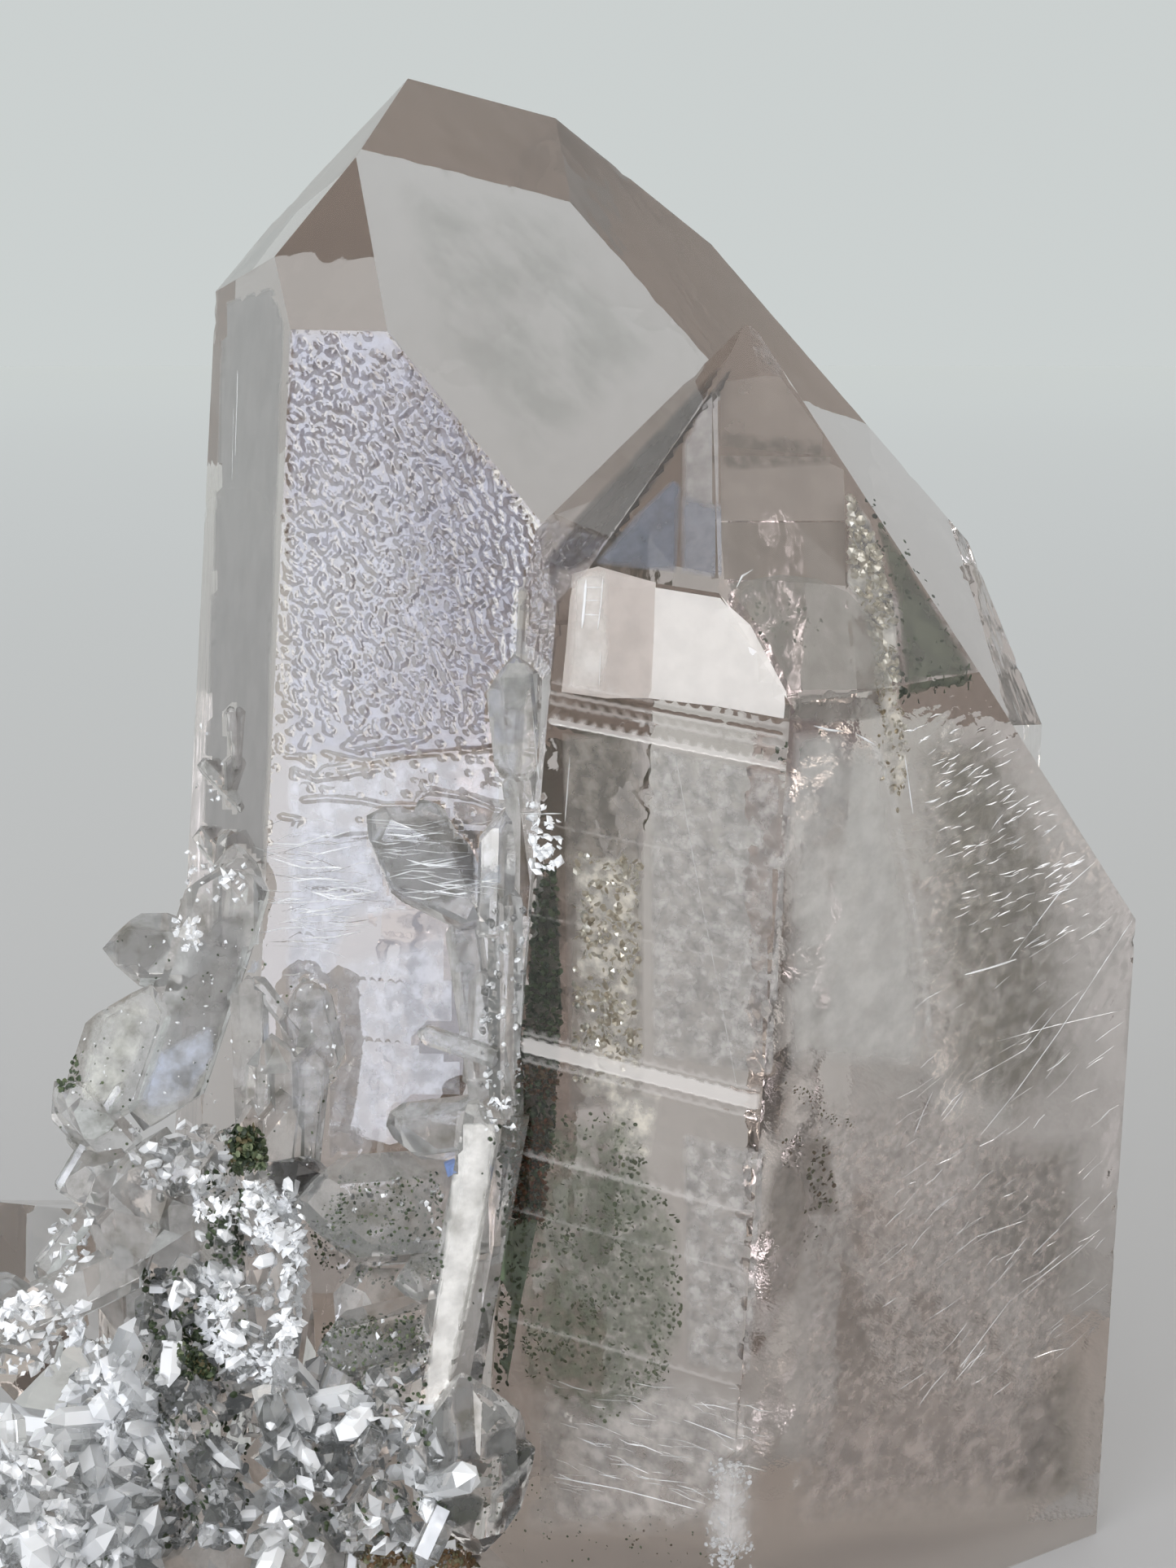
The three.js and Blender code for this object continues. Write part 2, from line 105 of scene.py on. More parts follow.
RAY_START = 0.02  # the bent view is followed from that far inside the surface
FAR_GAP, LEAST_DEPTH = 0.15, 0.1  # between an inclusion and the far surface, and the near one


def inside_at(px, py, depth):
    """The place at that depth behind the surface, bent as quartz bends light, and its direction."""
    met = surface_at(px, py)
    if met is None:
        return None
    place, normal = met
    way = pixel_way(px, py)
    cosine = -float(way @ normal)
    bent = way / IOR + (cosine / IOR - math.sqrt(1 - (1 - cosine ** 2) / IOR ** 2)) * normal
    far, _, _, reach = QUARTZ_TREE.ray_cast(Vector(place + bent * RAY_START), Vector(bent))
    if far is not None:
        depth = min(depth, reach - FAR_GAP)
    return (place + bent * depth, bent) if depth >= LEAST_DEPTH else None


# Seeded smooth noise

GRID = 128  # cells after which the noise repeats
STEEP_SIDE, GENTLE_SIDE, HOLLOW_SKEW = 1.7, 0.8, 0.6
HOLLOW_REACH, HOLLOW_REACH_ADDED = 0.35, 0.35  # of a cell: the smallest, and what the largest adds


def ramp(x, low, high):
    """0 below low, 1 above high and smooth between them. Low may be the greater."""
    t = np.clip((x - low) / (high - low), 0.0, 1.0)
    return t * t * (3 - 2 * t)


def value_noise(u, w, size_u, size_w, seed):
    """Smooth noise from 0 to 1 over a plane, with cells of that size."""
    table = np.random.default_rng(seed).random((GRID, GRID))
    x, y = u / size_u, w / size_w
    i, j = np.floor(x).astype(int), np.floor(y).astype(int)
    fx, fy = ramp(x - i, 0.0, 1.0), ramp(y - j, 0.0, 1.0)
    a, b, c, d = (table[(i + di) % GRID, (j + dj) % GRID] for dj in (0, 1) for di in (0, 1))
    return (a * (1 - fx) + b * fx) * (1 - fy) + (c * (1 - fx) + d * fx) * fy


def even_noise(u, w, size_u, size_w, seed):
    """The same noise from minus a half to a half, so that it leaves the face in its plane."""
    return value_noise(u, w, size_u, size_w, seed) - 0.5


def hollows(a, b, size_a, size_b, seed, share):
    """Separate hollows from 0 to 1 deep, with one steep side, in that share of a grid's cells."""
    tables = [np.random.default_rng(seed + k).random((GRID, GRID)) for k in range(4)]
    i, j = np.floor(a / size_a).astype(int), np.floor(b / size_b).astype(int)
    deepest = np.zeros(np.shape(a))
    for di in (-1, 0, 1):
        for dj in (-1, 0, 1):
            shift_a, shift_b, size, pick = (t[(i + di) % GRID, (j + dj) % GRID] for t in tables)
            x = a / size_a - (i + di + shift_a)
            y = b / size_b - (j + dj + shift_b)
            y = np.where(y > 0, STEEP_SIDE * y, GENTLE_SIDE * y)
            reach = np.sqrt(x * x + y * y + HOLLOW_SKEW * x * y)
            reach = reach / (HOLLOW_REACH + HOLLOW_REACH_ADDED * size)
            deepest = np.maximum(deepest, np.clip(1.0 - reach, 0.0, 1.0) * (pick < share))
    return deepest


# The large faces of the quartz. Each is cut into small cells, so that its relief is real shape.

BIG_FACE_AREA = 150.0
SEED_AREA = 6.0  # a large face has a triangle of at least this area
SAME_WAY = math.cos(math.radians(2.6))
STRAIGHT_DOWN, LEANING = 0.9, 0.3  # least part of a normal along an axis
ONE_PLANE, SLIVER_AREA = 0.98, 0.002  # a sliver's own normal isn't trusted
FLATNESS = 0.004  # how far the corners of a large face may lie from its plane
RIM_FADE = 0.5  # width beside a face's edge in which its relief runs out
WEAR_DEPTH, NICK_SHARE, NICK_DEPTHS = 0.018, 0.035, (0.06, 0.16)  # on the sharp edges
ETCHED_WAY = unit((-0.175, -0.971, 0.166))
STEPPED_WAY = unit((-0.411, -0.904, -0.120))
TICKED_WAY = unit((0.584, -0.798, -0.149))
PANEL_WAY = unit((0.622, -0.430, 0.654))
TALL_AXIS = unit((0.0407, 0.1384, 0.9895))
SHORT_AXIS = unit((0.0499, -0.1815, 0.9821))

# Heights along a point's axis between which relief comes or goes: the tall point, then the short one.
ETCHED_FROM, ETCHED_UP_TO, DOTTED_FROM, WAVY_BELOW = (58.5, 63.5), (91.0, 88.0), (53.5, 57.5), (59.5, 53.5)
DENTED_BELOW, TICKED_TOP, SCRATCHED_FROM = (76.0, 72.0), (49.0, 59.0), (12.0, 40.0)
# Growth steps: height along the short point's axis, half width, and strength from 0 to 1.
# The strength also sets how much diffuse white each step gets as a painted highlight.
STEPS = ((77.6, 0.10, 0.35), (76.9, 0.14, 0.45), (76.2, 0.12, 0.40), (75.0, 0.22, 0.8), (52.9, 0.12, 0.4),
         (52.0, 0.54, 1.0), (50.9, 0.12, 0.4), (44.0, 0.15, 0.45), (39.6, 0.10, 0.30), (31.0, 0.13, 0.35),
         (68.0, 0.08, 0.25), (61.5, 0.08, 0.25))
STEP_TOOTH, STEP_MARGIN = 0.24, 0.08
TICKED_ROW, TICKED_ACROSS = 1100, (965, 1125)  # pixels across the smooth strip of that face
STRIP_FADE = (0.75, 1.15)  # where on the way across them the ticks set in
# Fine breaks that cross the front of the tall point, as lines of pixels.
SCARPS = (
    ((452, 893), (440, 905), (422, 918), (439, 922), (483, 916), (520, 909)),
    ((398, 925), (413, 930), (446, 936), (483, 930), (538, 925), (612, 920)),
    ((362, 948), (390, 958), (422, 952), (464, 945)), ((388, 957), (398, 944), (430, 940)),
    ((372, 983), (400, 980), (445, 984), (470, 990), (487, 999)), ((529, 972), (580, 980), (617, 994)),
    ((350, 929), (375, 930)), ((345, 1003), (370, 1008), (362, 1014)),
    ((352, 1068), (420, 1060), (470, 1066)), ((380, 1040), (430, 1028), (470, 1034)),
    ((345, 1100), (400, 1096), (450, 1104)),
    ((345, 1128), (395, 1122), (452, 1130)), ((350, 1160), (372, 1150), (400, 1163)),
    ((340, 1215), (420, 1206), (500, 1214)), ((345, 1290), (430, 1282), (520, 1290)),
)
SCARP_DEPTH, SCARP_REACH = 0.09, 0.30
# Pits, dents, ticks and scratches: the lean of their longer side in degrees, their depths, and their
# length, width and seed, with the share of the face that has them where it is the same all over.
PIT_LEAN, TICK_LEAN, SCRATCH_LEAN, PANEL_LEAN = -33.0, 26.0, 48.0, 28.0
PIT_DEPTH, FINE_PIT_DEPTH, DENT_DEPTH, TICK_DEPTH, SCRATCH_DEPTH = 0.14, 0.06, 0.05, 0.11, 0.05
ETCH_PITS, FINE_PITS = (0.74, 0.46, 11), (0.44, 0.30, 51)
SHORT_TICKS, SCRATCH_NOISE = (1.1, 0.42, 31), (6.0, 0.5, 33)
STEPPED_DENTS, PANEL_DENTS = (1.5, 0.9, 23, 0.30), (2.6, 1.0, 44, 0.35)
SWELL_DEPTH, SWELLS = 0.012, (2.6, 1.6, 13)
SCRATCH_RANGE = (0.62, 0.90)  # of the noise that makes scratches
PIT_SHARE, PIT_SHARE_LOST, DOT_SHARE = 0.95, 0.45, 0.32  # the second is lost towards the top
FINE_PIT_SHARE = 0.75  # of the others' number
LOW_TICKS = 0.35  # depth of the ticks low down, as a share of that at the top
GRAIN_SHARE = 0.4
PITS_THIN_OUT = (83.0, 90.0)  # height along the tall point's axis
TICK_SHARE, TICK_SHARE_WON = 0.30, 0.35  # the second is won towards the top
STEP_SLOPE = 0.28
# Waves of a face's relief: depth, size across and along it, and what is added to its seed.
ETCHED_WAVES = ((0.055, 6.0, 0.62, 19), (0.0275, 1.7, 0.7, 20))
STEPPED_WAVES = ((0.014, 9.0, 0.9, 21), (0.020, 2.2, 1.1, 22))
TICKED_WAVES = ((0.05, 4.0, 3.0, 34), (0.03, 1.3, 0.9, 35))
PANEL_WAVES = ((0.035, 5.0, 4.0, 41), (0.010, 0.9, 0.9, 43))
PANEL_LEANING = ((0.03, 2.6, 1.0, 42),)
PRISM_WAVES = ((0.016, 11.0, 0.8, 0), (0.0096, 2.5, 0.7, 2), (0.03, 6.0, 4.0, 1))
BACK_WAVES = ((0.06, 3.2, 2.4, 0), (0.03, 1.2, 0.9, 1), (0.018, 9.0, 0.8, 2))
TIP_WAVES = ((0.025, 4.0, 3.0, 0), (0.008, 1.2, 1.0, 1))
# Bands of cells: from height and to height along the crystal's axis, cell width and height.
BELOW_ALL, ABOVE_ALL = -99.0, 300.0
ETCHED_BANDS = ((BELOW_ALL, 53.0, 0.7, 0.22), (53.0, 60.5, 0.24, 0.15), (60.5, 91.0, 0.18, 0.17),
                (91.0, ABOVE_ALL, 0.4, 0.4))
TICKED_BANDS = ((BELOW_ALL, 49.0, 0.55, 0.5), (49.0, ABOVE_ALL, 0.36, 0.25))
PANEL_BANDS, CUT_BANDS, TIP_BANDS, BACK_BANDS, PRISM_BANDS = (
    ((BELOW_ALL, ABOVE_ALL, wide, tall),)
    for wide, tall in ((0.9, 0.8), (4.0, 4.0), (1.0, 0.9), (0.85, 0.8), (1.0, 0.6)))
BETWEEN_STEPS, ON_STEPS, ABOVE_STEPS = (0.5, 0.33), (0.9, 0.06), (0.8, 0.33)  # cell width and height
LEAST_STEP, COARSE_STEP = 0.2, 0.8  # along the rim of a large face, the second where it meets small ones
RIM_GAP, SHAKE = 0.4, 0.12  # of a cell: kept free along the rim, and each corner's random shift


def step_bands():
    """Coarse bands between the growth steps and fine ones across them."""
    bands, foot = [], BELOW_ALL
    for height, half, _ in sorted(STEPS):
        low, high = height - half - STEP_MARGIN, height + half + STEP_MARGIN
        bands += [(foot, low, *BETWEEN_STEPS), (low, high, *ON_STEPS)]
        foot = high
    return bands + [(foot, ABOVE_ALL, *ABOVE_STEPS)]


def etched_zone(w):
    """1 where the front of the tall point is etched all over, from its height."""
    return ramp(w, *ETCHED_FROM) * ramp(w, *ETCHED_UP_TO)


def step_zone(w):
    """How strongly a growth step crosses the face at that height, from 0 to 1."""
    return sum(share * (np.abs(w - height) < half) for height, half, share in STEPS)


def grain_zone(w):
    return np.full(np.shape(w), GRAIN_SHARE)


def no_zone(w):
    return np.zeros(np.shape(w))


def leaning(u, w, degrees):
    """The same places measured along and across a direction that leans by that angle."""
    turn = math.radians(degrees)
    return u * math.cos(turn) + w * math.sin(turn), w * math.cos(turn) - u * math.sin(turn)


def waves(u, w, kinds, seed=0):
    """The sum of some waves."""
    return sum(depth * even_noise(u, w, wide, tall, seed + more) for depth, wide, tall, more in kinds)


def line_gap(u, w, path):
    """Distance in the face from each place to a line of points."""
    gap = np.full(np.shape(u), np.inf)
    for (u0, w0), (u1, w1) in zip(path, path[1:]):
        du, dw = u1 - u0, w1 - w0
        along = np.clip(((u - u0) * du + (w - w0) * dw) / (du * du + dw * dw), 0.0, 1.0)
        gap = np.minimum(gap, np.hypot(u - u0 - along * du, w - w0 - along * dw))
    return gap


def etched_relief(u, w):
    a, b = leaning(u, w, PIT_LEAN)
    zone = etched_zone(w)
    low = ramp(w, *DOTTED_FROM)
    crowd = zone * (PIT_SHARE - PIT_SHARE_LOST * ramp(w, *PITS_THIN_OUT)) + (1 - zone) * low * DOT_SHARE
    depth = PIT_DEPTH * hollows(a, b, *ETCH_PITS, crowd)
    depth = depth + FINE_PIT_DEPTH * hollows(a, b, *FINE_PITS, crowd * FINE_PIT_SHARE) * zone
    depth = depth + SWELL_DEPTH * value_noise(u, w, *SWELLS) * zone
    across = unit(np.cross(TALL_AXIS, ETCHED_WAY))
    for line in SCARPS:
        path = [surface_at(px, py)[0] for px, py in line]
        gap = line_gap(u, w, [(float(p @ across), float(p @ TALL_AXIS)) for p in path])
        depth = depth + SCARP_DEPTH * ramp(gap, SCARP_REACH, 0.0)
    return depth + waves(u, w, ETCHED_WAVES) * ramp(w, *WAVY_BELOW)


def stepped_relief(u, w):
    depth = waves(u, w, STEPPED_WAVES) + DENT_DEPTH * hollows(u, w, *STEPPED_DENTS) * ramp(w, *DENTED_BELOW)
    for height, half, share in STEPS:
        near = w - height
        depth = depth + share * (np.abs(near) < half) * STEP_SLOPE * ((near + half) % STEP_TOOTH)
    return depth


def ticked_relief(u, w):
    """Ticks and scratches, with a smooth strip beside the front edge, where the pale column is seen."""
    a, b = leaning(u, w, TICK_LEAN)
    c, d = leaning(u, w, SCRATCH_LEAN)
    top = ramp(w, *TICKED_TOP)
    across = unit(np.cross(SHORT_AXIS, TICKED_WAY))
    edge, far = (float(surface_at(px, TICKED_ROW)[0] @ across) for px in TICKED_ACROSS)
    share = ramp((u - edge) / (far - edge), *STRIP_FADE)
    ticks = share * hollows(a, b, *SHORT_TICKS, TICK_SHARE + TICK_SHARE_WON * top)
    scratches = share * ramp(value_noise(c, d, *SCRATCH_NOISE), *SCRATCH_RANGE)
    depth = TICK_DEPTH * ticks * (LOW_TICKS + (1 - LOW_TICKS) * top)
    depth = depth + SCRATCH_DEPTH * scratches * (1 - top) * ramp(w, *SCRATCHED_FROM)
    return depth + waves(u, w, TICKED_WAVES)


def panel_relief(u, w):
    a, b = leaning(u, w, PANEL_LEAN)
    depth = waves(u, w, PANEL_WAVES) + waves(a, b, PANEL_LEANING)
    return depth + DENT_DEPTH * hollows(a, b, *PANEL_DENTS)


# How a large face is cut and pressed. Etching says where it is etched, and frosting where its growth steps
# get a painted highlight, from the height.
Finish = namedtuple("Finish", "relief bands axis etching frosting", defaults=(TALL_AXIS, no_zone, no_zone))


def choose_finish(normal, rank, seed):
    """The finish of a large face. Its rank counts the larger ones that look the same way."""
    def near(way):
        return float(normal @ way) > SAME_WAY

    if near(ETCHED_WAY):
        return Finish(etched_relief, ETCHED_BANDS, etching=etched_zone)
    if near(STEPPED_WAY) and rank == 0:
        return Finish(stepped_relief, step_bands(), SHORT_AXIS, frosting=step_zone)
    if near(TICKED_WAY) and rank == 0:
        return Finish(ticked_relief, TICKED_BANDS, SHORT_AXIS, etching=grain_zone)
    if near(PANEL_WAY) and rank == 0:
        return Finish(panel_relief, PANEL_BANDS)
    if normal[2] < -STRAIGHT_DOWN:
        return Finish(no_relief, CUT_BANDS)
    kinds, bands = PRISM_WAVES, PRISM_BANDS
    if normal[2] > LEANING:
        kinds, bands = TIP_WAVES, TIP_BANDS
    elif normal[1] > LEANING:
        kinds, bands = BACK_WAVES, BACK_BANDS
    return Finish(partial(waves, kinds=kinds, seed=seed), bands)


def no_relief(u, w):
    return np.zeros(len(u))


def face_measures(corners, triangles):
    """The normals and areas of triangles."""
    a, b, c = (corners[triangles[:, k]] for k in range(3))
    cross = np.cross(b - a, c - a)
    length = np.linalg.norm(cross, axis=1)
    return cross / np.maximum(length, 1e-12)[:, None], length / 2


def find_big_faces(corners, triangles):
    """The large faces, largest first: normal, offset and numbers of the triangles in one plane."""
    normal, area = face_measures(corners, triangles)
    free = np.ones(len(triangles), bool)
    groups = []
    for seed in np.argsort(-area):
        if not free[seed] or area[seed] < SEED_AREA:
            continue
        n = normal[seed]
        offset = float(n @ corners[triangles[seed, 0]])
        level = np.abs(corners @ n - offset) < FLATNESS
        flat = free & level[triangles].all(1) & ((normal @ n > ONE_PLANE) | (area < SLIVER_AREA))
        total = area[flat].sum()
        if total >= BIG_FACE_AREA:
            free[flat] = False
            groups.append((total, n, offset, np.where(flat)[0]))
    return [group[1:] for group in sorted(groups, key=lambda group: -group[0])]


def sides(loop):
    """The sides of a closed loop, as pairs."""
    return list(zip(loop, [*loop[1:], loop[0]]))


def edge_key(p, q):
    return min(p, q), max(p, q)


def faces_by_edge(triangles):
    """The numbers of the triangles on each edge."""
    found = {}
    for t, tri in enumerate(triangles):
        for p, q in sides(tri):
            found.setdefault(edge_key(p, q), []).append(t)
    return found


def within(walls, x, y):
    """Whether a place, or each of many, lies inside closed outlines given by their sides."""
    result = x != x
    for (x0, y0), (x1, y1) in walls:
        if y0 != y1:
            result = result ^ (((y0 > y) != (y1 > y)) & (x < x0 + (y - y0) / (y1 - y0) * (x1 - x0)))
    return result


def flood_inside(triangles, walls):
    """Which triangles lie inside closed outlines, by counting the walls crossed on the way in."""
    walls = {edge_key(a, b) for a, b in walls}
    found = faces_by_edge(triangles)
    depth = [-1] * len(triangles)
    queue = deque()
    for edge, members in found.items():
        if len(members) == 1 and depth[members[0]] < 0:
            depth[members[0]] = int(edge in walls)
            queue.append(members[0])
    while queue:
        t = queue.popleft()
        for side in sides(triangles[t]):
            edge = edge_key(*side)
            for other in found[edge]:
                if depth[other] < 0:
                    depth[other] = depth[t] + (edge in walls)
                    queue.append(other)
    return np.array(depth) % 2 == 1


def cell_at(finish, point):
    """The spacing of new corners on the rim of a large face."""
    height = float(point @ finish.axis)
    for low, high, wide, tall in finish.bands:
        if low <= height < high:
            return max(min(wide, tall * 3), LEAST_STEP)
    return 1.0


def split_edges(corners, owner, pairs, finishes):
    """The corners with new ones round the large faces, and the numbers of those on each edge."""
    points, count, chain = [corners], len(corners), {}
    for (p, q), members in pairs.items():
        numbers = {owner[t] for t in members}
        if len(numbers) < 2:
            continue
        middle = (corners[p] + corners[q]) / 2
        step = min(cell_at(finishes[n], middle) for n in numbers if n >= 0)
        if -1 in numbers:
            step = max(step, COARSE_STEP)
        parts = int(math.ceil(np.linalg.norm(corners[p] - corners[q]) / step))
        if parts < 2:
            continue
        share = np.arange(1, parts)[:, None] / parts
        points.append(corners[p] * (1 - share) + corners[q] * share)
        chain[(p, q)] = list(range(count, count + parts - 1))
        count += parts - 1
    return np.vstack(points), chain


def cut_face(points, ring, group, finish, number, count):
    """A large face in cells: its triangles, its inner corners with their relief, and their heights."""
    n, offset, _ = group
    axis = finish.axis
    across = unit(np.cross(axis, n)) if abs(n @ axis) < 0.999 else unit(np.cross((0, 1, 0), n))
    upward = unit(np.cross(n, across))
    rim = sorted({p for edge in ring for p in edge})
    place = {p: k for k, p in enumerate(rim)}
    flat = np.stack([points[rim] @ across, points[rim] @ upward], 1)
    edges = [(place[p], place[q]) for p, q in ring]
    walls = [(flat[a].tolist(), flat[b].tolist()) for a, b in edges]
    inner = lattice(flat, walls, finish, n * offset, across, upward, number)
    tri = fill_outline(np.vstack([flat, inner]), edges, 0, 1e-7)
    tri = np.array(tri, int)[flood_inside(tri, edges)]
    index = np.array([*rim, *range(count, count + len(inner))], int)
    solid = inner[:, :1] * across + inner[:, 1:] * upward + offset * n
    height = solid @ axis
    depth = finish.relief(inner[:, 0], height) * ramp(edge_distance(inner, flat), 0.0, RIM_FADE)
    return index[tri].tolist(), solid - depth[:, None] * n, height


def dice_quartz(corners, triangles):
    """The quartz with its large faces cut into cells and their relief pressed in.

    Returns its corners, triangles, the number of each one's large face (below 0: none), and masks.
    """
    groups = find_big_faces(corners, triangles)
    owner = np.full(len(triangles), -1)
    finishes = []
    for number, (n, _, members) in enumerate(groups):
        owner[members] = number
        rank = sum(float(other[0] @ n) > SAME_WAY for other in groups[:number])
        finishes.append(choose_finish(n, rank, 100 + 7 * number))
    triangles = triangles.tolist()
    pairs = faces_by_edge(triangles)
    points, chain = split_edges(corners, owner, pairs, finishes)

    def path(p, q):
        """The corner p and the new ones on the way to q."""
        return [p] + chain.get((p, q), []) + chain.get((q, p), [])[::-1]

    # Small faces keep their plane. Those with new corners on an edge are cut to match.
    made, made_owner = [], []
    for t in np.where(owner < 0)[0]:
        loop = [k for p, q in sides(triangles[t]) for k in path(p, q)]
        cut = [loop] if len(loop) == 3 else cut_outline(points, loop)
        made += cut
        made_owner += [-1 - int(t)] * len(cut)

    solid, count = [edge_wear(points, corners, chain, pairs, owner, groups)], len(points)
    etched, step_highlight = [np.zeros(count)], [np.zeros(count)]
    for number, (group, finish) in enumerate(zip(groups, finishes)):
        ring = []
        for t in group[2]:
            for p, q in sides(triangles[t]):
                if sum(owner[s] == number for s in pairs[edge_key(p, q)]) == 1:
                    dots = path(p, q) + [q]
                    ring += zip(dots, dots[1:])
        cells, inner, height = cut_face(points, ring, group, finish, number, count)
        made += cells
        made_owner += [number] * len(cells)
        count += len(inner)
        solid.append(inner)
        etched.append(finish.etching(height))
        step_highlight.append(finish.frosting(height))
    final = np.vstack(solid)
    made, made_owner = np.array(made, int), np.array(made_owner, int)
    small = np.ones(len(final))
    small[made[made_owner >= 0].ravel()] = 0.0
    for middle, reach in CLEARER:
        gap = np.linalg.norm(final - np.array(middle), axis=1)
        small = small * (CLEARER_DUST + (1 - CLEARER_DUST) * ramp(gap, reach, reach + CLEARER_FADE))
    return final, made, made_owner, {"etched": np.concatenate(etched), "step_highlight": np.concatenate(step_highlight),
                                     "small": small}


def edge_wear(points, corners, chain, pairs, owner, groups):
    """The corners with small nicks pressed into the sharp edges between large faces."""
    moved = points.copy()
    rng = np.random.default_rng(77)
    for (p, q), numbers in chain.items():
        faces = [owner[t] for t in pairs[(p, q)]]
        if min(faces) < 0:
            continue
        inward = -unit(groups[faces[0]][0] + groups[faces[1]][0])
        feet = sorted((corners[p][2], corners[q][2]))
        if abs(inward[2]) > 0.9 or feet[0] < 0.01 > feet[1]:
            continue
        wear = WEAR_DEPTH * rng.random(len(numbers))
        bites = rng.random(len(numbers)) < NICK_SHARE
        wear = wear + bites * rng.uniform(*NICK_DEPTHS, len(numbers))
        moved[numbers] += inward * (wear * (points[numbers][:, 2] > 0.5))[:, None]
    return moved


def cut_outline(points, loop):
    """Triangles of a flat outline with extra corners along its sides."""
    p = points[loop]
    n = np.cross(p[1] - p[0], p[-1] - p[0])
    if np.linalg.norm(n) < 1e-9:
        n = np.cross(p[len(p) // 3] - p[0], p[2 * len(p) // 3] - p[0])
    n = n / max(np.linalg.norm(n), 1e-12)
    across = unit(p[1] - p[0])
    upward = np.cross(n, across)
    flat = np.stack([(p - p[0]) @ across, (p - p[0]) @ upward], 1)
    return [[loop[k] for k in ids] for ids in fill_outline(flat, sides(range(len(loop))), 1, 1e-9)]


def fill_outline(flat, edges, kind, tolerance):
    """Triangles, all turning the same way, over points of a plane. Kind 1 keeps to the outline."""
    places = flat.tolist()
    found = delaunay_2d_cdt([Vector(p) for p in places], edges, [], kind, tolerance)
    result = []
    for face in found[2]:
        ids = [found[3][v][0] for v in face]
        (ax, ay), (bx, by), (cx, cy) = (places[k] for k in ids)
        result.append(ids if (bx - ax) * (cy - ay) >= (by - ay) * (cx - ax) else ids[::-1])
    return result


def edge_distance(inner, flat):
    tree = KDTree(len(flat))
    for k, (x, y) in enumerate(flat):
        tree.insert((x, y, 0.0), k)
    tree.balance()
    return np.array([tree.find((x, y, 0.0))[2] for x, y in inner])


def lattice(flat, walls, finish, foot_point, across, upward, seed):
    """Rows of points inside a large face, spaced by its bands."""
    rng = np.random.default_rng(1000 + seed)
    low, high = flat.min(0), flat.max(0)
    base = float(foot_point @ finish.axis)
    rise, side = float(upward @ finish.axis), float(across @ finish.axis)
    rows = [np.zeros((0, 2))]
    for foot, top, wide, tall in finish.bands:
        start = max(low[1], (foot - base) / rise - 1.0)
        stop = min(high[1], (top - base) / rise + 1.0)
        if start >= stop:
            continue
        heights = np.arange(start, stop, tall)
        u, w = np.meshgrid(np.arange(low[0], high[0], wide), heights)
        u = u + (np.arange(len(heights)) % 2)[:, None] * wide / 2
        shake = 0.0 if tall == ON_STEPS[1] else SHAKE
        u = u + (rng.random(u.shape) - 0.5) * wide * shake
        w = w + (rng.random(w.shape) - 0.5) * tall * shake
        grid = np.stack([u.ravel(), w.ravel()], 1)
        level = grid[:, 1] * rise + grid[:, 0] * side + base
        grid = grid[(level >= foot) & (level < top)]
        grid = grid[within(walls, *grid.T)]
        rows.append(grid[edge_distance(grid, flat) > RIM_GAP * min(wide, max(tall, LEAST_STEP))])
    return np.vstack(rows)


# Materials

# Share of diffuse white mixed into the growth steps as a painted highlight.
STEP_HIGHLIGHT_STRENGTH = 0.5
SAWN_BELOW, SAWN_COLOUR = 0.00002, (0.85, 0.81, 0.775)  # the flat foot, up to that height in metres
ABSORPTION_COLOUR, ABSORPTION_DENSITY = (0.785, 0.705, 0.655), 14.0
# Small crystals that are clearer than the others: a place, and how far that reaches.
CLEARER = (((-3.6, -35.5, 15.0), 7.5), ((-3.8, -35.0, 22.0), 4.5), ((-16.2, -31.5, 37.2), 2.6))
CLEARER_DUST, CLEARER_FADE = 0.12, 1.5  # share of the dust that they keep, and the width of their rim
DUST_RANGE = (0.36, 0.68)  # of the noise from clear to dusty
DUST_SHARE = (0.06, 0.46)  # of the small crystals' surface that hides what lies behind
DUST_TONES = ((0.42, (0.76, 0.765, 0.76)), (0.64, (0.19, 0.185, 0.155)))
ETCH_BUMP = 17.0  # depth of the etched grain, as a multiple of the faint unevenness
CHLORITE_TONES = ((0.0, (0.012, 0.022, 0.010)), (0.35, (0.07, 0.10, 0.045)), (0.6, (0.17, 0.20, 0.11)),
                  (0.75, (0.10, 0.07, 0.03)), (1.0, (0.16, 0.05, 0.015)))
DARK_GRIT, WHITE_GRIT, GRIT_COVER = (0.05, 0.05, 0.042), (0.965, 0.975, 0.99), 0.92
# A sheet's clouds: the range of the noise from dark to pale, and from thin to thick.
CLOUD_TONES, CLOUD_COVER = (0.38, 0.62), (0.40, 0.58)
SMOOTH_WAY = 0.9994  # edges between facets that differ more are sharp
BRIGHT_TONES = ((0.0, (0.42, 0.33, 0.20)), (1.0, (0.92, 0.90, 0.82)))


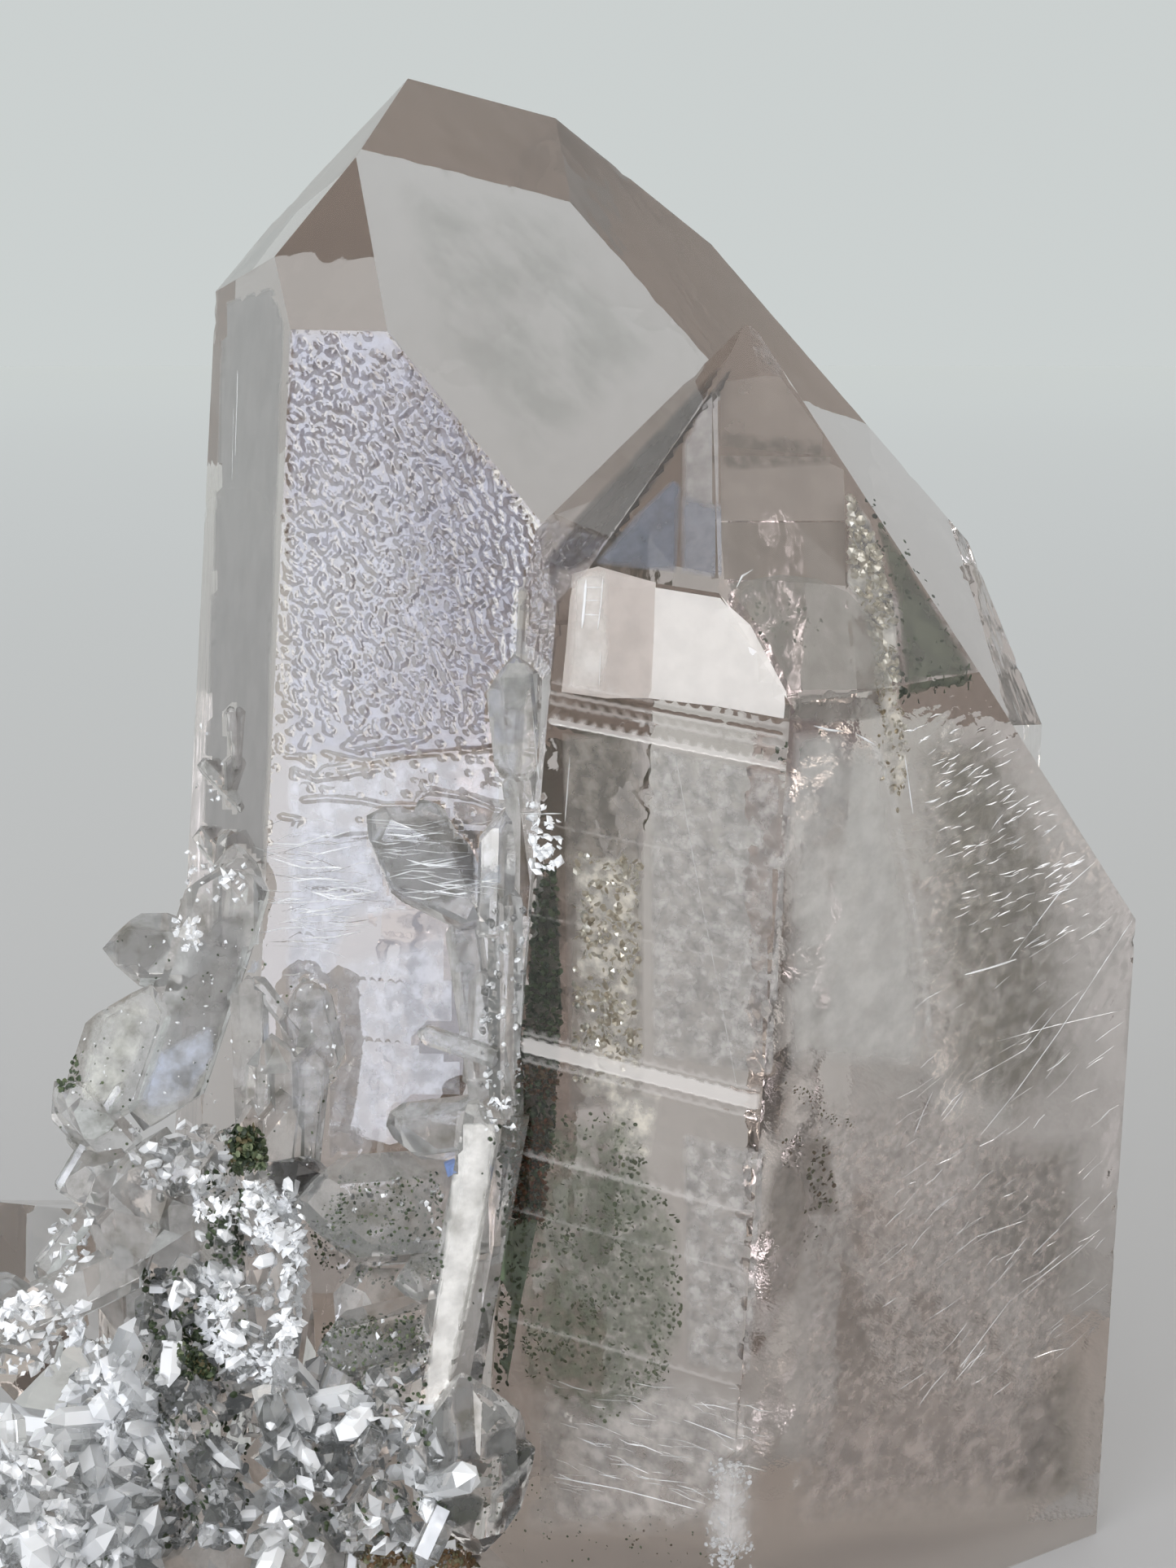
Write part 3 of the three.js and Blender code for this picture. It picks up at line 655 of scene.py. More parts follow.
class Shader:
    """A node tree to which nodes are added. Each method returns one output of what it adds."""

    def __init__(self, tree):
        self.tree = tree

    def add(self, kind, *values, out=0, **named):
        """A node. Its sockets take values or outputs, in order or by name. Small letters name settings."""
        node = self.tree.nodes.new("ShaderNode" + kind)
        sockets = list(enumerate(values))
        for key, value in named.items():
            if key.islower():
                setattr(node, key, value)
            else:
                sockets.append((key.replace("_", " "), value))
        for key, value in sockets:
            socket = node.inputs[key]
            if isinstance(value, bpy.types.NodeSocket):
                self.tree.links.new(value, socket)
            else:
                socket.default_value = (*value, 1.0) if socket.type == "RGBA" else value
        return node.outputs[out] if node.outputs else None

    def math(self, operation, *values):
        return self.add("Math", *values, operation=operation)

    def mask(self, name):
        return self.add("Attribute", out="Fac", attribute_name=name)

    def spread(self, value, low, high, to_low=0.0, to_high=1.0, **settings):
        """A value's range from low to high, spread from one number to another."""
        return self.add("MapRange", value, low, high, to_low, to_high, **settings)

    def blend(self, share, first, second):
        """A colour between two others."""
        colour = self.add("Mix", share, out=2, data_type="RGBA")
        for socket, value in zip(colour.node.inputs[6:8], (first, second)):
            if isinstance(value, bpy.types.NodeSocket):
                self.tree.links.new(value, socket)
            else:
                socket.default_value = (*value, 1.0)
        return colour

    def toned(self, value, tones):
        """The colour that belongs to a value. Tones are values and colours, in rising order."""
        colour = self.add("ValToRGB", value)
        stops = colour.node.color_ramp.elements
        for stop, (position, tone) in zip(stops, (tones[0], tones[-1])):
            stop.position, stop.color = position, (*tone, 1.0)
        for position, tone in tones[1:-1]:
            stops.new(position).color = (*tone, 1.0)
        return colour


def new_material(name):
    """An empty material and its shader."""
    material = bpy.data.materials.new(name)
    material.use_nodes = True
    material.node_tree.nodes.clear()
    return material, Shader(material.node_tree)


def quartz_material():
    material, shader = new_material("quartz")
    place = shader.add("TexCoord", out="Object")
    # Faint unevenness finer than the cells of the mesh, and the fine grain of the etched face.
    fine = shader.add("TexNoise", Vector=place, Scale=1400.0, Detail=3.0)
    lean = shader.add("VectorRotate", Vector=place, Angle=math.radians(-35.0), rotation_type="Y_AXIS")
    stretch = shader.add("Mapping", Vector=lean, Scale=(1500.0, 1500.0, 3600.0))
    grain = shader.add("TexNoise", Vector=stretch, Scale=1.0, Detail=2.0)
    etched = shader.math("MULTIPLY", grain, shader.mask("etched"))
    height = shader.math("MULTIPLY_ADD", etched, ETCH_BUMP, fine)
    bump = shader.add("Bump", Height=height, Strength=0.02, Distance=0.0001)
    glass = shader.add("BsdfPrincipled", Base_Color=(1.0, 1.0, 1.0), Roughness=0.0, IOR=IOR,
                       Transmission_Weight=1.0, Normal=bump)
    sawn = shader.add("BsdfPrincipled", Base_Color=SAWN_COLOUR, Roughness=0.7, IOR=IOR)
    low = shader.math("LESS_THAN", shader.add("SeparateXYZ", place, out="Z"), SAWN_BELOW)
    # Painted highlight: diffuse white mixed into the growth steps so that they look lit. The sawn foot has
    # its own colour.
    share = shader.math("MULTIPLY_ADD", shader.mask("step_highlight"), STEP_HIGHLIGHT_STRENGTH, low)
    clean = shader.add("MixShader", share, glass, sawn)
    # The small crystals are dusted and cloudy in patches.
    patches = shader.add("TexNoise", Vector=place, Scale=420.0, Detail=5.0, Roughness=0.65)
    cover = shader.spread(patches, *DUST_RANGE, *DUST_SHARE)
    cover = shader.math("MULTIPLY", shader.mask("small"), cover)
    dust = shader.add("BsdfPrincipled", shader.toned(patches, DUST_TONES), Roughness=0.35, IOR=IOR)
    whole = shader.add("MixShader", cover, clean, dust)
    absorb = shader.add("VolumeAbsorption", Color=ABSORPTION_COLOUR, Density=ABSORPTION_DENSITY)
    shader.add("OutputMaterial", whole, absorb)
    return material


def flake_material(name, tones, roughness, metallic):
    """A plain material whose colour follows the tint of each facet."""
    material, shader = new_material(name)
    colour = shader.toned(shader.mask("tint"), tones)
    shader.add("OutputMaterial", shader.add("BsdfPrincipled", colour, Roughness=roughness, Metallic=metallic))
    return material


def chlorite_material():
    return flake_material("chlorite", CHLORITE_TONES, 0.5, 0.0)


def grit_material():
    """Clear quartz up to frosty white quartz. A tint above 0 is how white a facet is, below 0 how dark. The
    facets differ from each other as painted reflections, and the white has a faint painted glow.
    """
    material, shader = new_material("quartz_grit")
    glass = shader.add("BsdfPrincipled", Base_Color=(0.97, 0.97, 0.96), Roughness=0.06, IOR=IOR,
                       Transmission_Weight=1.0)
    tint = shader.mask("tint")
    colour = shader.blend(shader.math("GREATER_THAN", tint, 0.0), DARK_GRIT, WHITE_GRIT)
    # Painted glow: the white facets give off a little light of their own.
    white = shader.add("BsdfPrincipled", colour, Roughness=0.25, Emission_Color=(0.9, 0.95, 1.0),
                       Emission_Strength=0.06)
    share = shader.math("MINIMUM", shader.math("ABSOLUTE", tint), GRIT_COVER)
    shader.add("OutputMaterial", shader.add("MixShader", share, glass, white))
    return material


def sheet_material(name):
    colour, dark_share, cover, glow, broken, scale = SHEET_LOOKS[name]
    material, shader = new_material("sheet_" + name)
    cloud = shader.add("TexNoise", Vector=shader.add("TexCoord", out="Object"), Scale=scale, Detail=4.0)
    tone = shader.blend(shader.spread(cloud, *CLOUD_TONES), [dark_share * c for c in colour], colour)
    # Cover: full where the clouds are thick, less between them, and fading towards a soft rim.
    thick = shader.spread(cloud.node.outputs["Color"], *CLOUD_COVER, cover * (1 - broken), cover)
    alpha = shader.math("MULTIPLY", thick, shader.mask("tint"))
    # The glow is painted light: the sheet gives off light of its own.
    surface = shader.add("BsdfPrincipled", tone, Roughness=0.45, Alpha=alpha,
                         Emission_Color=(1.0, 0.965, 0.94), Emission_Strength=glow)
    shader.add("OutputMaterial", surface)
    return material


# Meshes


def put_in_scene(name, data):
    made = bpy.data.objects.new(name, data)
    bpy.context.scene.collection.objects.link(made)
    return made


def make_piece(name, corners, triangles, material, tints, smooth=False, tinted="FACE"):
    """A visible piece of the stone, made from corners in millimetres."""
    mesh = bpy.data.meshes.new(name)
    mesh.from_pydata((np.asarray(corners) * MM).tolist(), [], np.asarray(triangles).tolist())
    mesh.update()
    mesh.polygons.foreach_set("use_smooth", np.full(len(mesh.polygons), smooth))
    for key, values in tints.items():
        layer = mesh.attributes.new(key, "FLOAT", tinted)
        layer.data.foreach_set("value", np.asarray(values, np.float32))
    mesh.materials.append(material)
    piece = put_in_scene(name, mesh)
    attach(piece, "root")
    return piece


def make_quartz():
    """The quartz, smooth inside its large faces and sharp on every other edge."""
    corners, triangles, owner, masks = dice_quartz(QUARTZ_CORNERS, QUARTZ_TRIANGLES)
    piece = make_piece("quartz_crystals", corners, triangles, quartz_material(), masks,
                       smooth=True, tinted="POINT")
    mesh = piece.data
    normal, _ = face_measures(corners, triangles)
    found = faces_by_edge(triangles.tolist())
    edges = np.zeros(len(mesh.edges) * 2, int)
    mesh.edges.foreach_get("vertices", edges)
    beside = [found[edge_key(*edge)] for edge in edges.reshape(-1, 2).tolist()]
    first, second = np.array([(faces[0], faces[-1]) for faces in beside]).T
    one_face = (owner[first] == owner[second]) & (owner[first] >= 0)
    sharp = ~one_face & ((normal[first] * normal[second]).sum(1) < SMOOTH_WAY)
    mesh.attributes.new("sharp_edge", "BOOLEAN", "EDGE").data.foreach_set("value", sharp)
    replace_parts(piece, "quartz_cluster")


# Small pieces: flakes of chlorite and rust, quartz grit, cloudy sheets inside the crystals


TRIES = 60  # random pixels looked at for each one wanted
CLUMP_RANGE = (0.35, 0.75)  # of the noise from between the clumps to inside them
CRUST_CLUMP, SHARD_CLUMP, POINT_CLUMP, STROKE_CLUMP = 26.0, 34.0, 30.0, 40.0  # size in pixels
# Thickness as a share of the radius.
FLAKE_THICKNESS, CRUST_THICKNESS, SHARD_THICKNESS = (0.4, 0.9), (0.5, 1.0), (0.5, 1.3)
CRUST_SPREAD, SHARD_SPREAD = 0.8, 1.5  # how far they turn out of the surface
SHARD_STRETCH, SHARD_WARP, SHARD_LIFT = (0.45, 1.0), 0.12, 0.15
POINT_TIP, POINT_FLATNESS, POINT_SUNK = 1.1, (0.6, 1.0), 0.5
RIDGE_STEP, RIDGE_LEAP = 9.0, 2.5  # pixels between a ridge's corners, and the most millimetres
RIDGE_END, RIDGE_HEIGHT = 0.25, 0.3  # the width of its ends and its height, as shares of its width
RIDGE_SUNK = 0.03
STROKE_GATHERING, STROKE_TURN, STROKE_BEND = 0.5, 8.0, 0.2


def pixels_in(outline, count, rng, clump, clump_size, seed):
    """Random pixels in an outline, gathered into clumps where clump is over 0."""
    walls = sides(outline)
    xs, ys = zip(*outline)
    found = []
    for _ in range(count * TRIES):
        x, y = rng.uniform(min(xs), max(xs)), rng.uniform(min(ys), max(ys))
        if not within(walls, x, y):
            continue
        if clump:
            dense = value_noise(np.array([x]), np.array([y]), clump_size, clump_size, seed)[0]
            if rng.random() < clump * (1 - ramp(dense, *CLUMP_RANGE)):
                continue
        found.append((x, y))
        if len(found) == count:
            break
    return found


def steps_along(path, length):
    """The pixels of a line, with more put between them at that spacing, but without the last."""
    dots = []
    for (x0, y0), (x1, y1) in zip(path, path[1:]):
        parts = max(1, int(math.hypot(x1 - x0, y1 - y0) / length))
        dots += [(x0 + (x1 - x0) * k / parts, y0 + (y1 - y0) * k / parts) for k in range(parts)]
    return dots


def turned(rng, along=None, spread_out=1.0):
    """A random right-handed set of directions. Its third one leans towards along, if given."""
    third = rng.normal(size=3)
    if along is not None:
        third = unit(along) + spread_out * unit(third)
    third = unit(third)
    first = unit(np.cross(third, rng.normal(size=3)))
    return np.stack([first, np.cross(third, first), third], 1)


class Pile:
    """Corners, triangles and a tint for each triangle, gathered into one mesh."""

    def __init__(self):
        self.corners, self.triangles, self.tints, self.count = [], [], [], 0

    def put(self, corners, triangles, tint, facets=0.0):
        self.corners.append(np.asarray(corners, float))
        self.triangles.append(np.asarray(triangles, int) + self.count)
        # The facets' offsets are painted reflections that make each facet lighter or darker.
        self.tints.append(np.full(len(triangles), tint, float) + facets)
        self.count += len(corners)

    def make(self, name, material, slot):
        return make_piece(name, np.vstack(self.corners), np.vstack(self.triangles), material,
                          {"tint": np.concatenate(self.tints)})


def circle(radius, count, flatten=1.0):
    turn = np.arange(count) * 2 * math.pi / count
    return np.stack([radius * np.cos(turn), flatten * radius * np.sin(turn), np.zeros(count)], 1)


def flake(radius, thickness, count=6):
    """A small plate, thinner towards its rim."""
    ends = np.array(((0, 0, thickness / 2), (0, 0, -thickness / 2)))
    top = [(k, (k + 1) % count, count) for k in range(count)]
    low = [((k + 1) % count, k, count + 1) for k in range(count)]
    return np.vstack([circle(radius, count), ends]), top + low


def quartz_point(radius, length, tip, flatten):
    """A six-sided prism with a pointed end, whose foot is at the origin."""
    ring = circle(radius, 6, flatten)
    corners = np.vstack([ring, ring + (0, 0, length), ((0, 0, length + tip),), ((0, 0, 0),)])
    faces = []
    for k in range(6):
        n = (k + 1) % 6
        faces += [(k, n, n + 6), (k, n + 6, k + 6), (k + 6, n + 6, 12), (n, k, 13)]
    return corners, faces


def met_surface(outline, count, rng, clump, clump_size, seed):
    """Places and normals on the surface seen through an outline's pixels, one after another."""
    for pixel in pixels_in(outline, count, rng, clump, clump_size, seed):
        met = surface_at(*pixel)
        if met is not None:
            yield met


def scatter_flakes(pile, outline, count, depths, sizes, tints, seed, clump=0.6, clump_size=22.0):
    """Flakes inside the quartz, where the view through the outline's pixels finds those depths."""
    rng = np.random.default_rng(seed)
    for px, py in pixels_in(outline, count, rng, clump, clump_size, seed):
        met = inside_at(px, py, rng.uniform(*depths))
        if met is None:
            continue
        radius = rng.uniform(*sizes)
        corners, faces = flake(radius, radius * rng.uniform(*FLAKE_THICKNESS))
        pile.put(corners @ turned(rng).T + met[0], faces, rng.uniform(*tints))


def scatter_crust(pile, outline, count, sizes, tints, seed, clump=0.5):
    """Flakes that lie on the surface seen through the outline's pixels."""
    rng = np.random.default_rng(seed)
    for place, normal in met_surface(outline, count, rng, clump, CRUST_CLUMP, seed):
        radius = rng.uniform(*sizes)
        corners, faces = flake(radius, radius * rng.uniform(*CRUST_THICKNESS))
        pile.put(corners @ turned(rng, normal, CRUST_SPREAD).T + place, faces, rng.uniform(*tints))


def scatter_shards(pile, outline, count, sizes, tints, seed, clump=0.6):
    """Broken angular bits on the surface seen through the outline's pixels."""
    rng = np.random.default_rng(seed)
    for place, normal in met_surface(outline, count, rng, clump, SHARD_CLUMP, seed):
        radius = rng.uniform(*sizes)
        corners, faces = flake(radius, radius * rng.uniform(*SHARD_THICKNESS), int(rng.integers(4, 6)))
        corners = corners * rng.uniform(*SHARD_STRETCH, 3)
        corners = corners + rng.normal(size=corners.shape) * radius * SHARD_WARP
        pile.put(corners @ turned(rng, normal, SHARD_SPREAD).T + place + normal * radius * SHARD_LIFT,
                 faces, rng.choice(tints), rng.choice(FACET_REFLECTIONS, len(faces)))


def scatter_points(pile, outline, count, sizes, tints, seed, lean=0.7, slender=(1.0, 2.2), clump=0.3):
    """Quartz grit that grows out of the surface seen through the outline's pixels."""
    rng = np.random.default_rng(seed)
    for place, normal in met_surface(outline, count, rng, clump, POINT_CLUMP, seed):
        radius = rng.uniform(*sizes)
        length = radius * rng.uniform(*slender)
        corners, faces = quartz_point(radius, length, radius * POINT_TIP, rng.uniform(*POINT_FLATNESS))
        directions = turned(rng, normal, lean)
        facets = rng.choice(FACET_REFLECTIONS, (6, 2))[:, (0, 0, 1, 1)].ravel()
        foot = place - normal * radius * POINT_SUNK
        pile.put(corners @ directions.T + foot, faces, rng.choice(tints), facets)


def ribbon(pile, path, width, tint):
    """A fine ridge on the surface, along a line of pixels."""
    met = [surface_at(px, py) for px, py in steps_along(path, RIDGE_STEP) + [path[-1]]]
    if any(m is None for m in met):
        return
    places, normals = np.array([m[0] for m in met]), np.array([m[1] for m in met])
    if np.linalg.norm(np.diff(places, axis=0), axis=1).max() > RIDGE_LEAP:
        return
    taper = np.ones((len(places), 1))
    taper[0] = taper[-1] = RIDGE_END
    aside = np.cross(np.gradient(places, axis=0), normals)
    aside = aside / np.linalg.norm(aside, axis=1)[:, None] * width / 2 * taper
    sunk = places - RIDGE_SUNK * normals
    ring = np.stack([sunk - aside, sunk + aside, places + RIDGE_HEIGHT * width * normals * taper], 1)
    faces = [(0, 2, 1)]
    for k in range(len(places) - 1):
        for a, b in sides(range(3)):
            p, q = 3 * k + a, 3 * k + b
            faces += [(p, q, q + 3), (p, q + 3, p + 3)]
    end = 3 * (len(places) - 1)
    faces.append((end, end + 1, end + 2))
    pile.put(ring.reshape(-1, 3), faces, tint)


def scatter_strokes(pile, outline, count, lengths, slope, widths, tints, seed):
    """Short fine ridges, all leaning much the same way in the picture."""
    rng = np.random.default_rng(seed)
    for px, py in pixels_in(outline, count, rng, STROKE_GATHERING, STROKE_CLUMP, seed):
        half = 0.5 * rng.uniform(*lengths)
        lean = math.radians(slope + rng.normal() * STROKE_TURN)
        dx, dy = half * math.cos(lean), -half * math.sin(lean)
        bend = rng.uniform(-STROKE_BEND, STROKE_BEND) * half
        path = ((px - dx, py - dy), (px, py + bend), (px + dx, py + dy))
        ribbon(pile, path, rng.uniform(*widths), rng.uniform(*tints))


# Where inclusions are seen, as outlines of pixels

CLOUD = [(648, 1372), (775, 1365), (800, 1440), (836, 1500), (838, 1640), (815, 1705), (742, 1750),
    (640, 1690), (640, 1500)]
LEFT_BAND = [(660, 1060), (684, 1062), (690, 1240), (682, 1377), (662, 1500), (620, 1500), (628, 1400),
    (645, 1230)]
LOW_BAND = [(624, 1500), (658, 1500), (640, 1602), (624, 1700), (600, 1704), (607, 1602)]
SMALL_LEFT = [(70, 1190), (130, 1120), (230, 1140), (330, 1060), (420, 1230), (405, 1440), (200, 1460),
    (40, 1400)]
RUST_BAND = [(632, 1375), (680, 1375), (668, 1500), (624, 1505)]
BROWN_STEP = [(636, 1300), (690, 1318), (684, 1352), (630, 1340)]
WINDOW_SPECKS = [(915, 742), (975, 735), (1015, 765), (1000, 800), (935, 792)]
COLUMN_SPECKS = [(972, 905), (1010, 900), (1038, 930), (1030, 968), (985, 962)]
GREEN_WEDGE = [(1062, 600), (1098, 640), (1202, 832), (1100, 842), (1066, 740)]
ARCH_TALL = [(1000, 1402), (1016, 1396), (1030, 1490), (984, 1490)]
ARCH_SMALL = [(962, 1398), (984, 1396), (982, 1424), (968, 1452), (962, 1440)]
ARCH_CURVE = [(962, 1330), (1000, 1340), (1030, 1372), (1052, 1378), (1050, 1386), (1020, 1382),
    (985, 1356)]
BROWN_CORNER = [(960, 1500), (1010, 1500), (1000, 1540), (960, 1545)]
LENS_UPPER = [(372, 1500), (440, 1452), (545, 1440), (545, 1575), (470, 1582), (395, 1560)]
LENS_LOWER = [(395, 1625), (520, 1612), (525, 1680), (430, 1692), (398, 1668)]
LENS_RUST = [(405, 1640), (440, 1630), (450, 1680), (410, 1682)]
OLIVE_CLUMP = [(275, 1392), (322, 1388), (328, 1438), (282, 1444)]
OLIVE_LOW = [(205, 1610), (262, 1612), (265, 1695), (210, 1692)]
DARK_BITS = [(250, 1440), (300, 1442), (300, 1565), (255, 1560)]
GREEN_PRISM_CORNER = [(68, 1290), (92, 1288), (100, 1330), (72, 1342)]
GREEN_PRISM = [(80, 1250), (150, 1215), (195, 1240), (150, 1390), (90, 1380)]
TIP_CORE = [(570, 1700), (590, 1702), (590, 1800), (568, 1795)]
TIP_DARK = [(545, 1720), (640, 1730), (650, 1800), (620, 1880), (545, 1870)]
TIP_RIGHT = [(610, 1770), (650, 1775), (650, 1800), (612, 1796)]
RUST_FOOT = [(440, 1885), (560, 1888), (590, 1926), (436, 1926)]
WALL_CLOUD = [(700, 1720), (880, 1720), (880, 1920), (600, 1920), (600, 1800)]
GOLD_ZONE = [(706, 1050), (786, 1050), (788, 1336), (704, 1330)]
GOLD_RIM = [(1074, 830), (1104, 850), (1120, 940), (1104, 1000), (1082, 960)]
WEDGE_SILVER = [(1042, 602), (1075, 660), (1100, 760), (1104, 840), (1080, 838), (1066, 760), (1044, 700)]
SEAM_DARK = [(596, 1340), (640, 1340), (610, 1700), (575, 1700)]
GRIT_CRUST = [(236, 1440), (300, 1450), (362, 1460), (374, 1500), (368, 1640), (345, 1700), (300, 1690),
    (250, 1650), (245, 1560), (290, 1560), (285, 1640), (330, 1660), (345, 1600), (350, 1540), (300, 1510),
    (240, 1500)]
GRIT_WHITE = [(236, 1440), (300, 1450), (362, 1450), (372, 1500), (345, 1700), (250, 1690), (240, 1560)]
GRIT_GREY = [(175, 1560), (300, 1560), (305, 1900), (180, 1900)]
GRIT_LEFT = [(0, 1790), (150, 1640), (185, 1700), (190, 1926), (0, 1926)]
GRIT_MIDDLE = [(330, 1700), (520, 1690), (560, 1900), (330, 1920)]
GRIT_UPPER = [(150, 1370), (290, 1380), (290, 1460), (180, 1480)]
NICKS_HIGH = [(225, 1040), (300, 1050), (300, 1110), (235, 1110)]
NICKS_LOW = [(215, 860), (300, 940), (300, 1040), (250, 1000)]
SEAM_GRIT = [(598, 1110), (650, 1105), (640, 1340), (590, 1335)]
FIBRES = [(645, 985), (690, 1000), (695, 1060), (655, 1075)]
PRISM_CROWN = [(590, 1350), (630, 1350), (630, 1390), (590, 1390)]
GRIT_RODS = [(0, 1596), (60, 1588), (104, 1600), (108, 1640), (60, 1688), (0, 1692)]
GRIT_BRANCH = [(58, 1510), (86, 1494), (112, 1500), (108, 1552), (60, 1592)]
GRIT_CRUST_LEFT = [(112, 1650), (135, 1640), (165, 1700), (150, 1760), (135, 1830), (112, 1800),
    (120, 1720)]
TICKS = [(1112, 872), (1225, 880), (1340, 1080), (1330, 1170), (1190, 1150), (1135, 1000)]
TICKS_LOW = [(1130, 1180), (1385, 1130), (1360, 1700), (1100, 1720), (1080, 1500)]
FRONT_LOW = [(345, 1010), (610, 1005), (600, 1110), (440, 1120), (350, 1250), (345, 1100)]
STEPPED_LOW = [(660, 1700), (940, 1700), (935, 1850), (680, 1840)]
HEX_FOOT = [(214, 1128), (247, 1128), (247, 1168), (220, 1168)]
FROST_PATCH = [(872, 1790), (920, 1800), (930, 1926), (866, 1926)]

# What is scattered over them. A row holds an outline, a count, depths where the pieces lie inside, sizes,
# tints and a seed. Then comes how far they gather in clumps, where that isn't the usual.
CHLORITE_INSIDE = (
    (CLOUD, 1300, (1.0, 4.5), (0.07, 0.20), (0.42, 0.66), 201, 0.85, 30.0),
    (LEFT_BAND, 700, (0.5, 2.4), (0.14, 0.30), (0.05, 0.40), 202, 0.3),
    (LOW_BAND, 150, (0.4, 2.0), (0.12, 0.26), (0.25, 0.60), 234, 0.2),
    (RUST_BAND, 420, (0.3, 1.6), (0.12, 0.26), (0.72, 1.0), 203, 0.2),
    (BROWN_STEP, 150, (0.3, 1.6), (0.10, 0.22), (0.70, 0.95), 204, 0.3),
    (WINDOW_SPECKS, 60, (2.0, 5.0), (0.07, 0.19), (0.25, 0.55), 205),
    (COLUMN_SPECKS, 46, (2.0, 4.0), (0.06, 0.17), (0.10, 0.45), 206),
    (GREEN_WEDGE, 160, (2.0, 6.0), (0.12, 0.26), (0.10, 0.40), 207, 0.3),
    (ARCH_TALL, 80, (0.6, 1.4), (0.10, 0.20), (0.66, 0.8), 208, 0.2),
    (ARCH_SMALL, 40, (0.6, 1.4), (0.08, 0.16), (0.66, 0.8), 209, 0.2),
    (ARCH_CURVE, 80, (0.6, 1.4), (0.05, 0.11), (0.66, 0.8), 210, 0.2),
    (BROWN_CORNER, 40, (1.0, 3.0), (0.06, 0.12), (0.5, 0.8), 211),
    (LENS_UPPER, 420, (0.3, 3.0), (0.06, 0.16), (0.30, 0.62), 212),
    (LENS_LOWER, 380, (0.3, 2.2), (0.07, 0.18), (0.20, 0.72), 213),
    (LENS_RUST, 60, (0.3, 2.0), (0.06, 0.14), (0.8, 1.0), 214),
    (GREEN_PRISM, 90, (0.4, 3.0), (0.05, 0.12), (0.4, 0.62), 218),
    (TIP_CORE, 300, (0.4, 1.6), (0.12, 0.24), (0.72, 0.95), 219, 0.1),
    (TIP_DARK, 160, (0.5, 3.0), (0.08, 0.20), (0.0, 0.8), 223, 0.8),
    (TIP_RIGHT, 90, (0.4, 1.6), (0.10, 0.20), (0.0, 0.35), 220),
    (WALL_CLOUD, 260, (1.5, 6.0), (0.05, 0.13), (0.4, 0.8), 222),
)
CHLORITE_OUTSIDE = (
    (OLIVE_CLUMP, 260, (0.12, 0.34), (0.0, 0.62), 224, 0.2),
    (OLIVE_LOW, 300, (0.10, 0.30), (0.0, 0.62), 215),
    (DARK_BITS, 200, (0.10, 0.30), (0.0, 0.3), 216),
    (GREEN_PRISM_CORNER, 120, (0.10, 0.26), (0.05, 0.5), 217),
    (GRIT_GREY, 420, (0.10, 0.32), (0.0, 0.30), 225, 0.9),
    (GRIT_LEFT, 110, (0.08, 0.26), (0.0, 0.30), 226, 0.9),
    (GRIT_MIDDLE, 150, (0.08, 0.28), (0.0, 0.40), 227, 0.9),
    # Dark flecks over the small crystals: painted shade on their dark facets.
    (SMALL_LEFT, 90, (0.05, 0.14), (0.0, 0.5), 235, 0.9),
    (LENS_UPPER, 200, (0.05, 0.16), (0.0, 0.5), 236, 0.8),
    (LENS_LOWER, 170, (0.05, 0.18), (0.0, 0.55), 237, 0.8),
    (GRIT_MIDDLE, 160, (0.08, 0.26), (0.0, 0.6), 238, 0.9),
    (GRIT_GREY, 200, (0.08, 0.30), (0.0, 0.4), 239, 0.8),
    (SEAM_DARK, 24, (0.08, 0.22), (0.0, 0.2), 228, 0.9),
    (RUST_FOOT, 520, (0.12, 0.30), (0.66, 0.86), 221, 0.3),
)
BRIGHT_INSIDE = (
    (GOLD_ZONE, 420, (0.4, 1.6), (0.12, 0.34), (0.3, 1.0), 231, 0.7, 26.0),
    (GOLD_RIM, 110, (0.6, 2.0), (0.10, 0.26), (0.0, 1.0), 232, 0.3),
    (WEDGE_SILVER, 240, (0.5, 1.8), (0.14, 0.42), (0.7, 1.0), 233, 0.6),
)
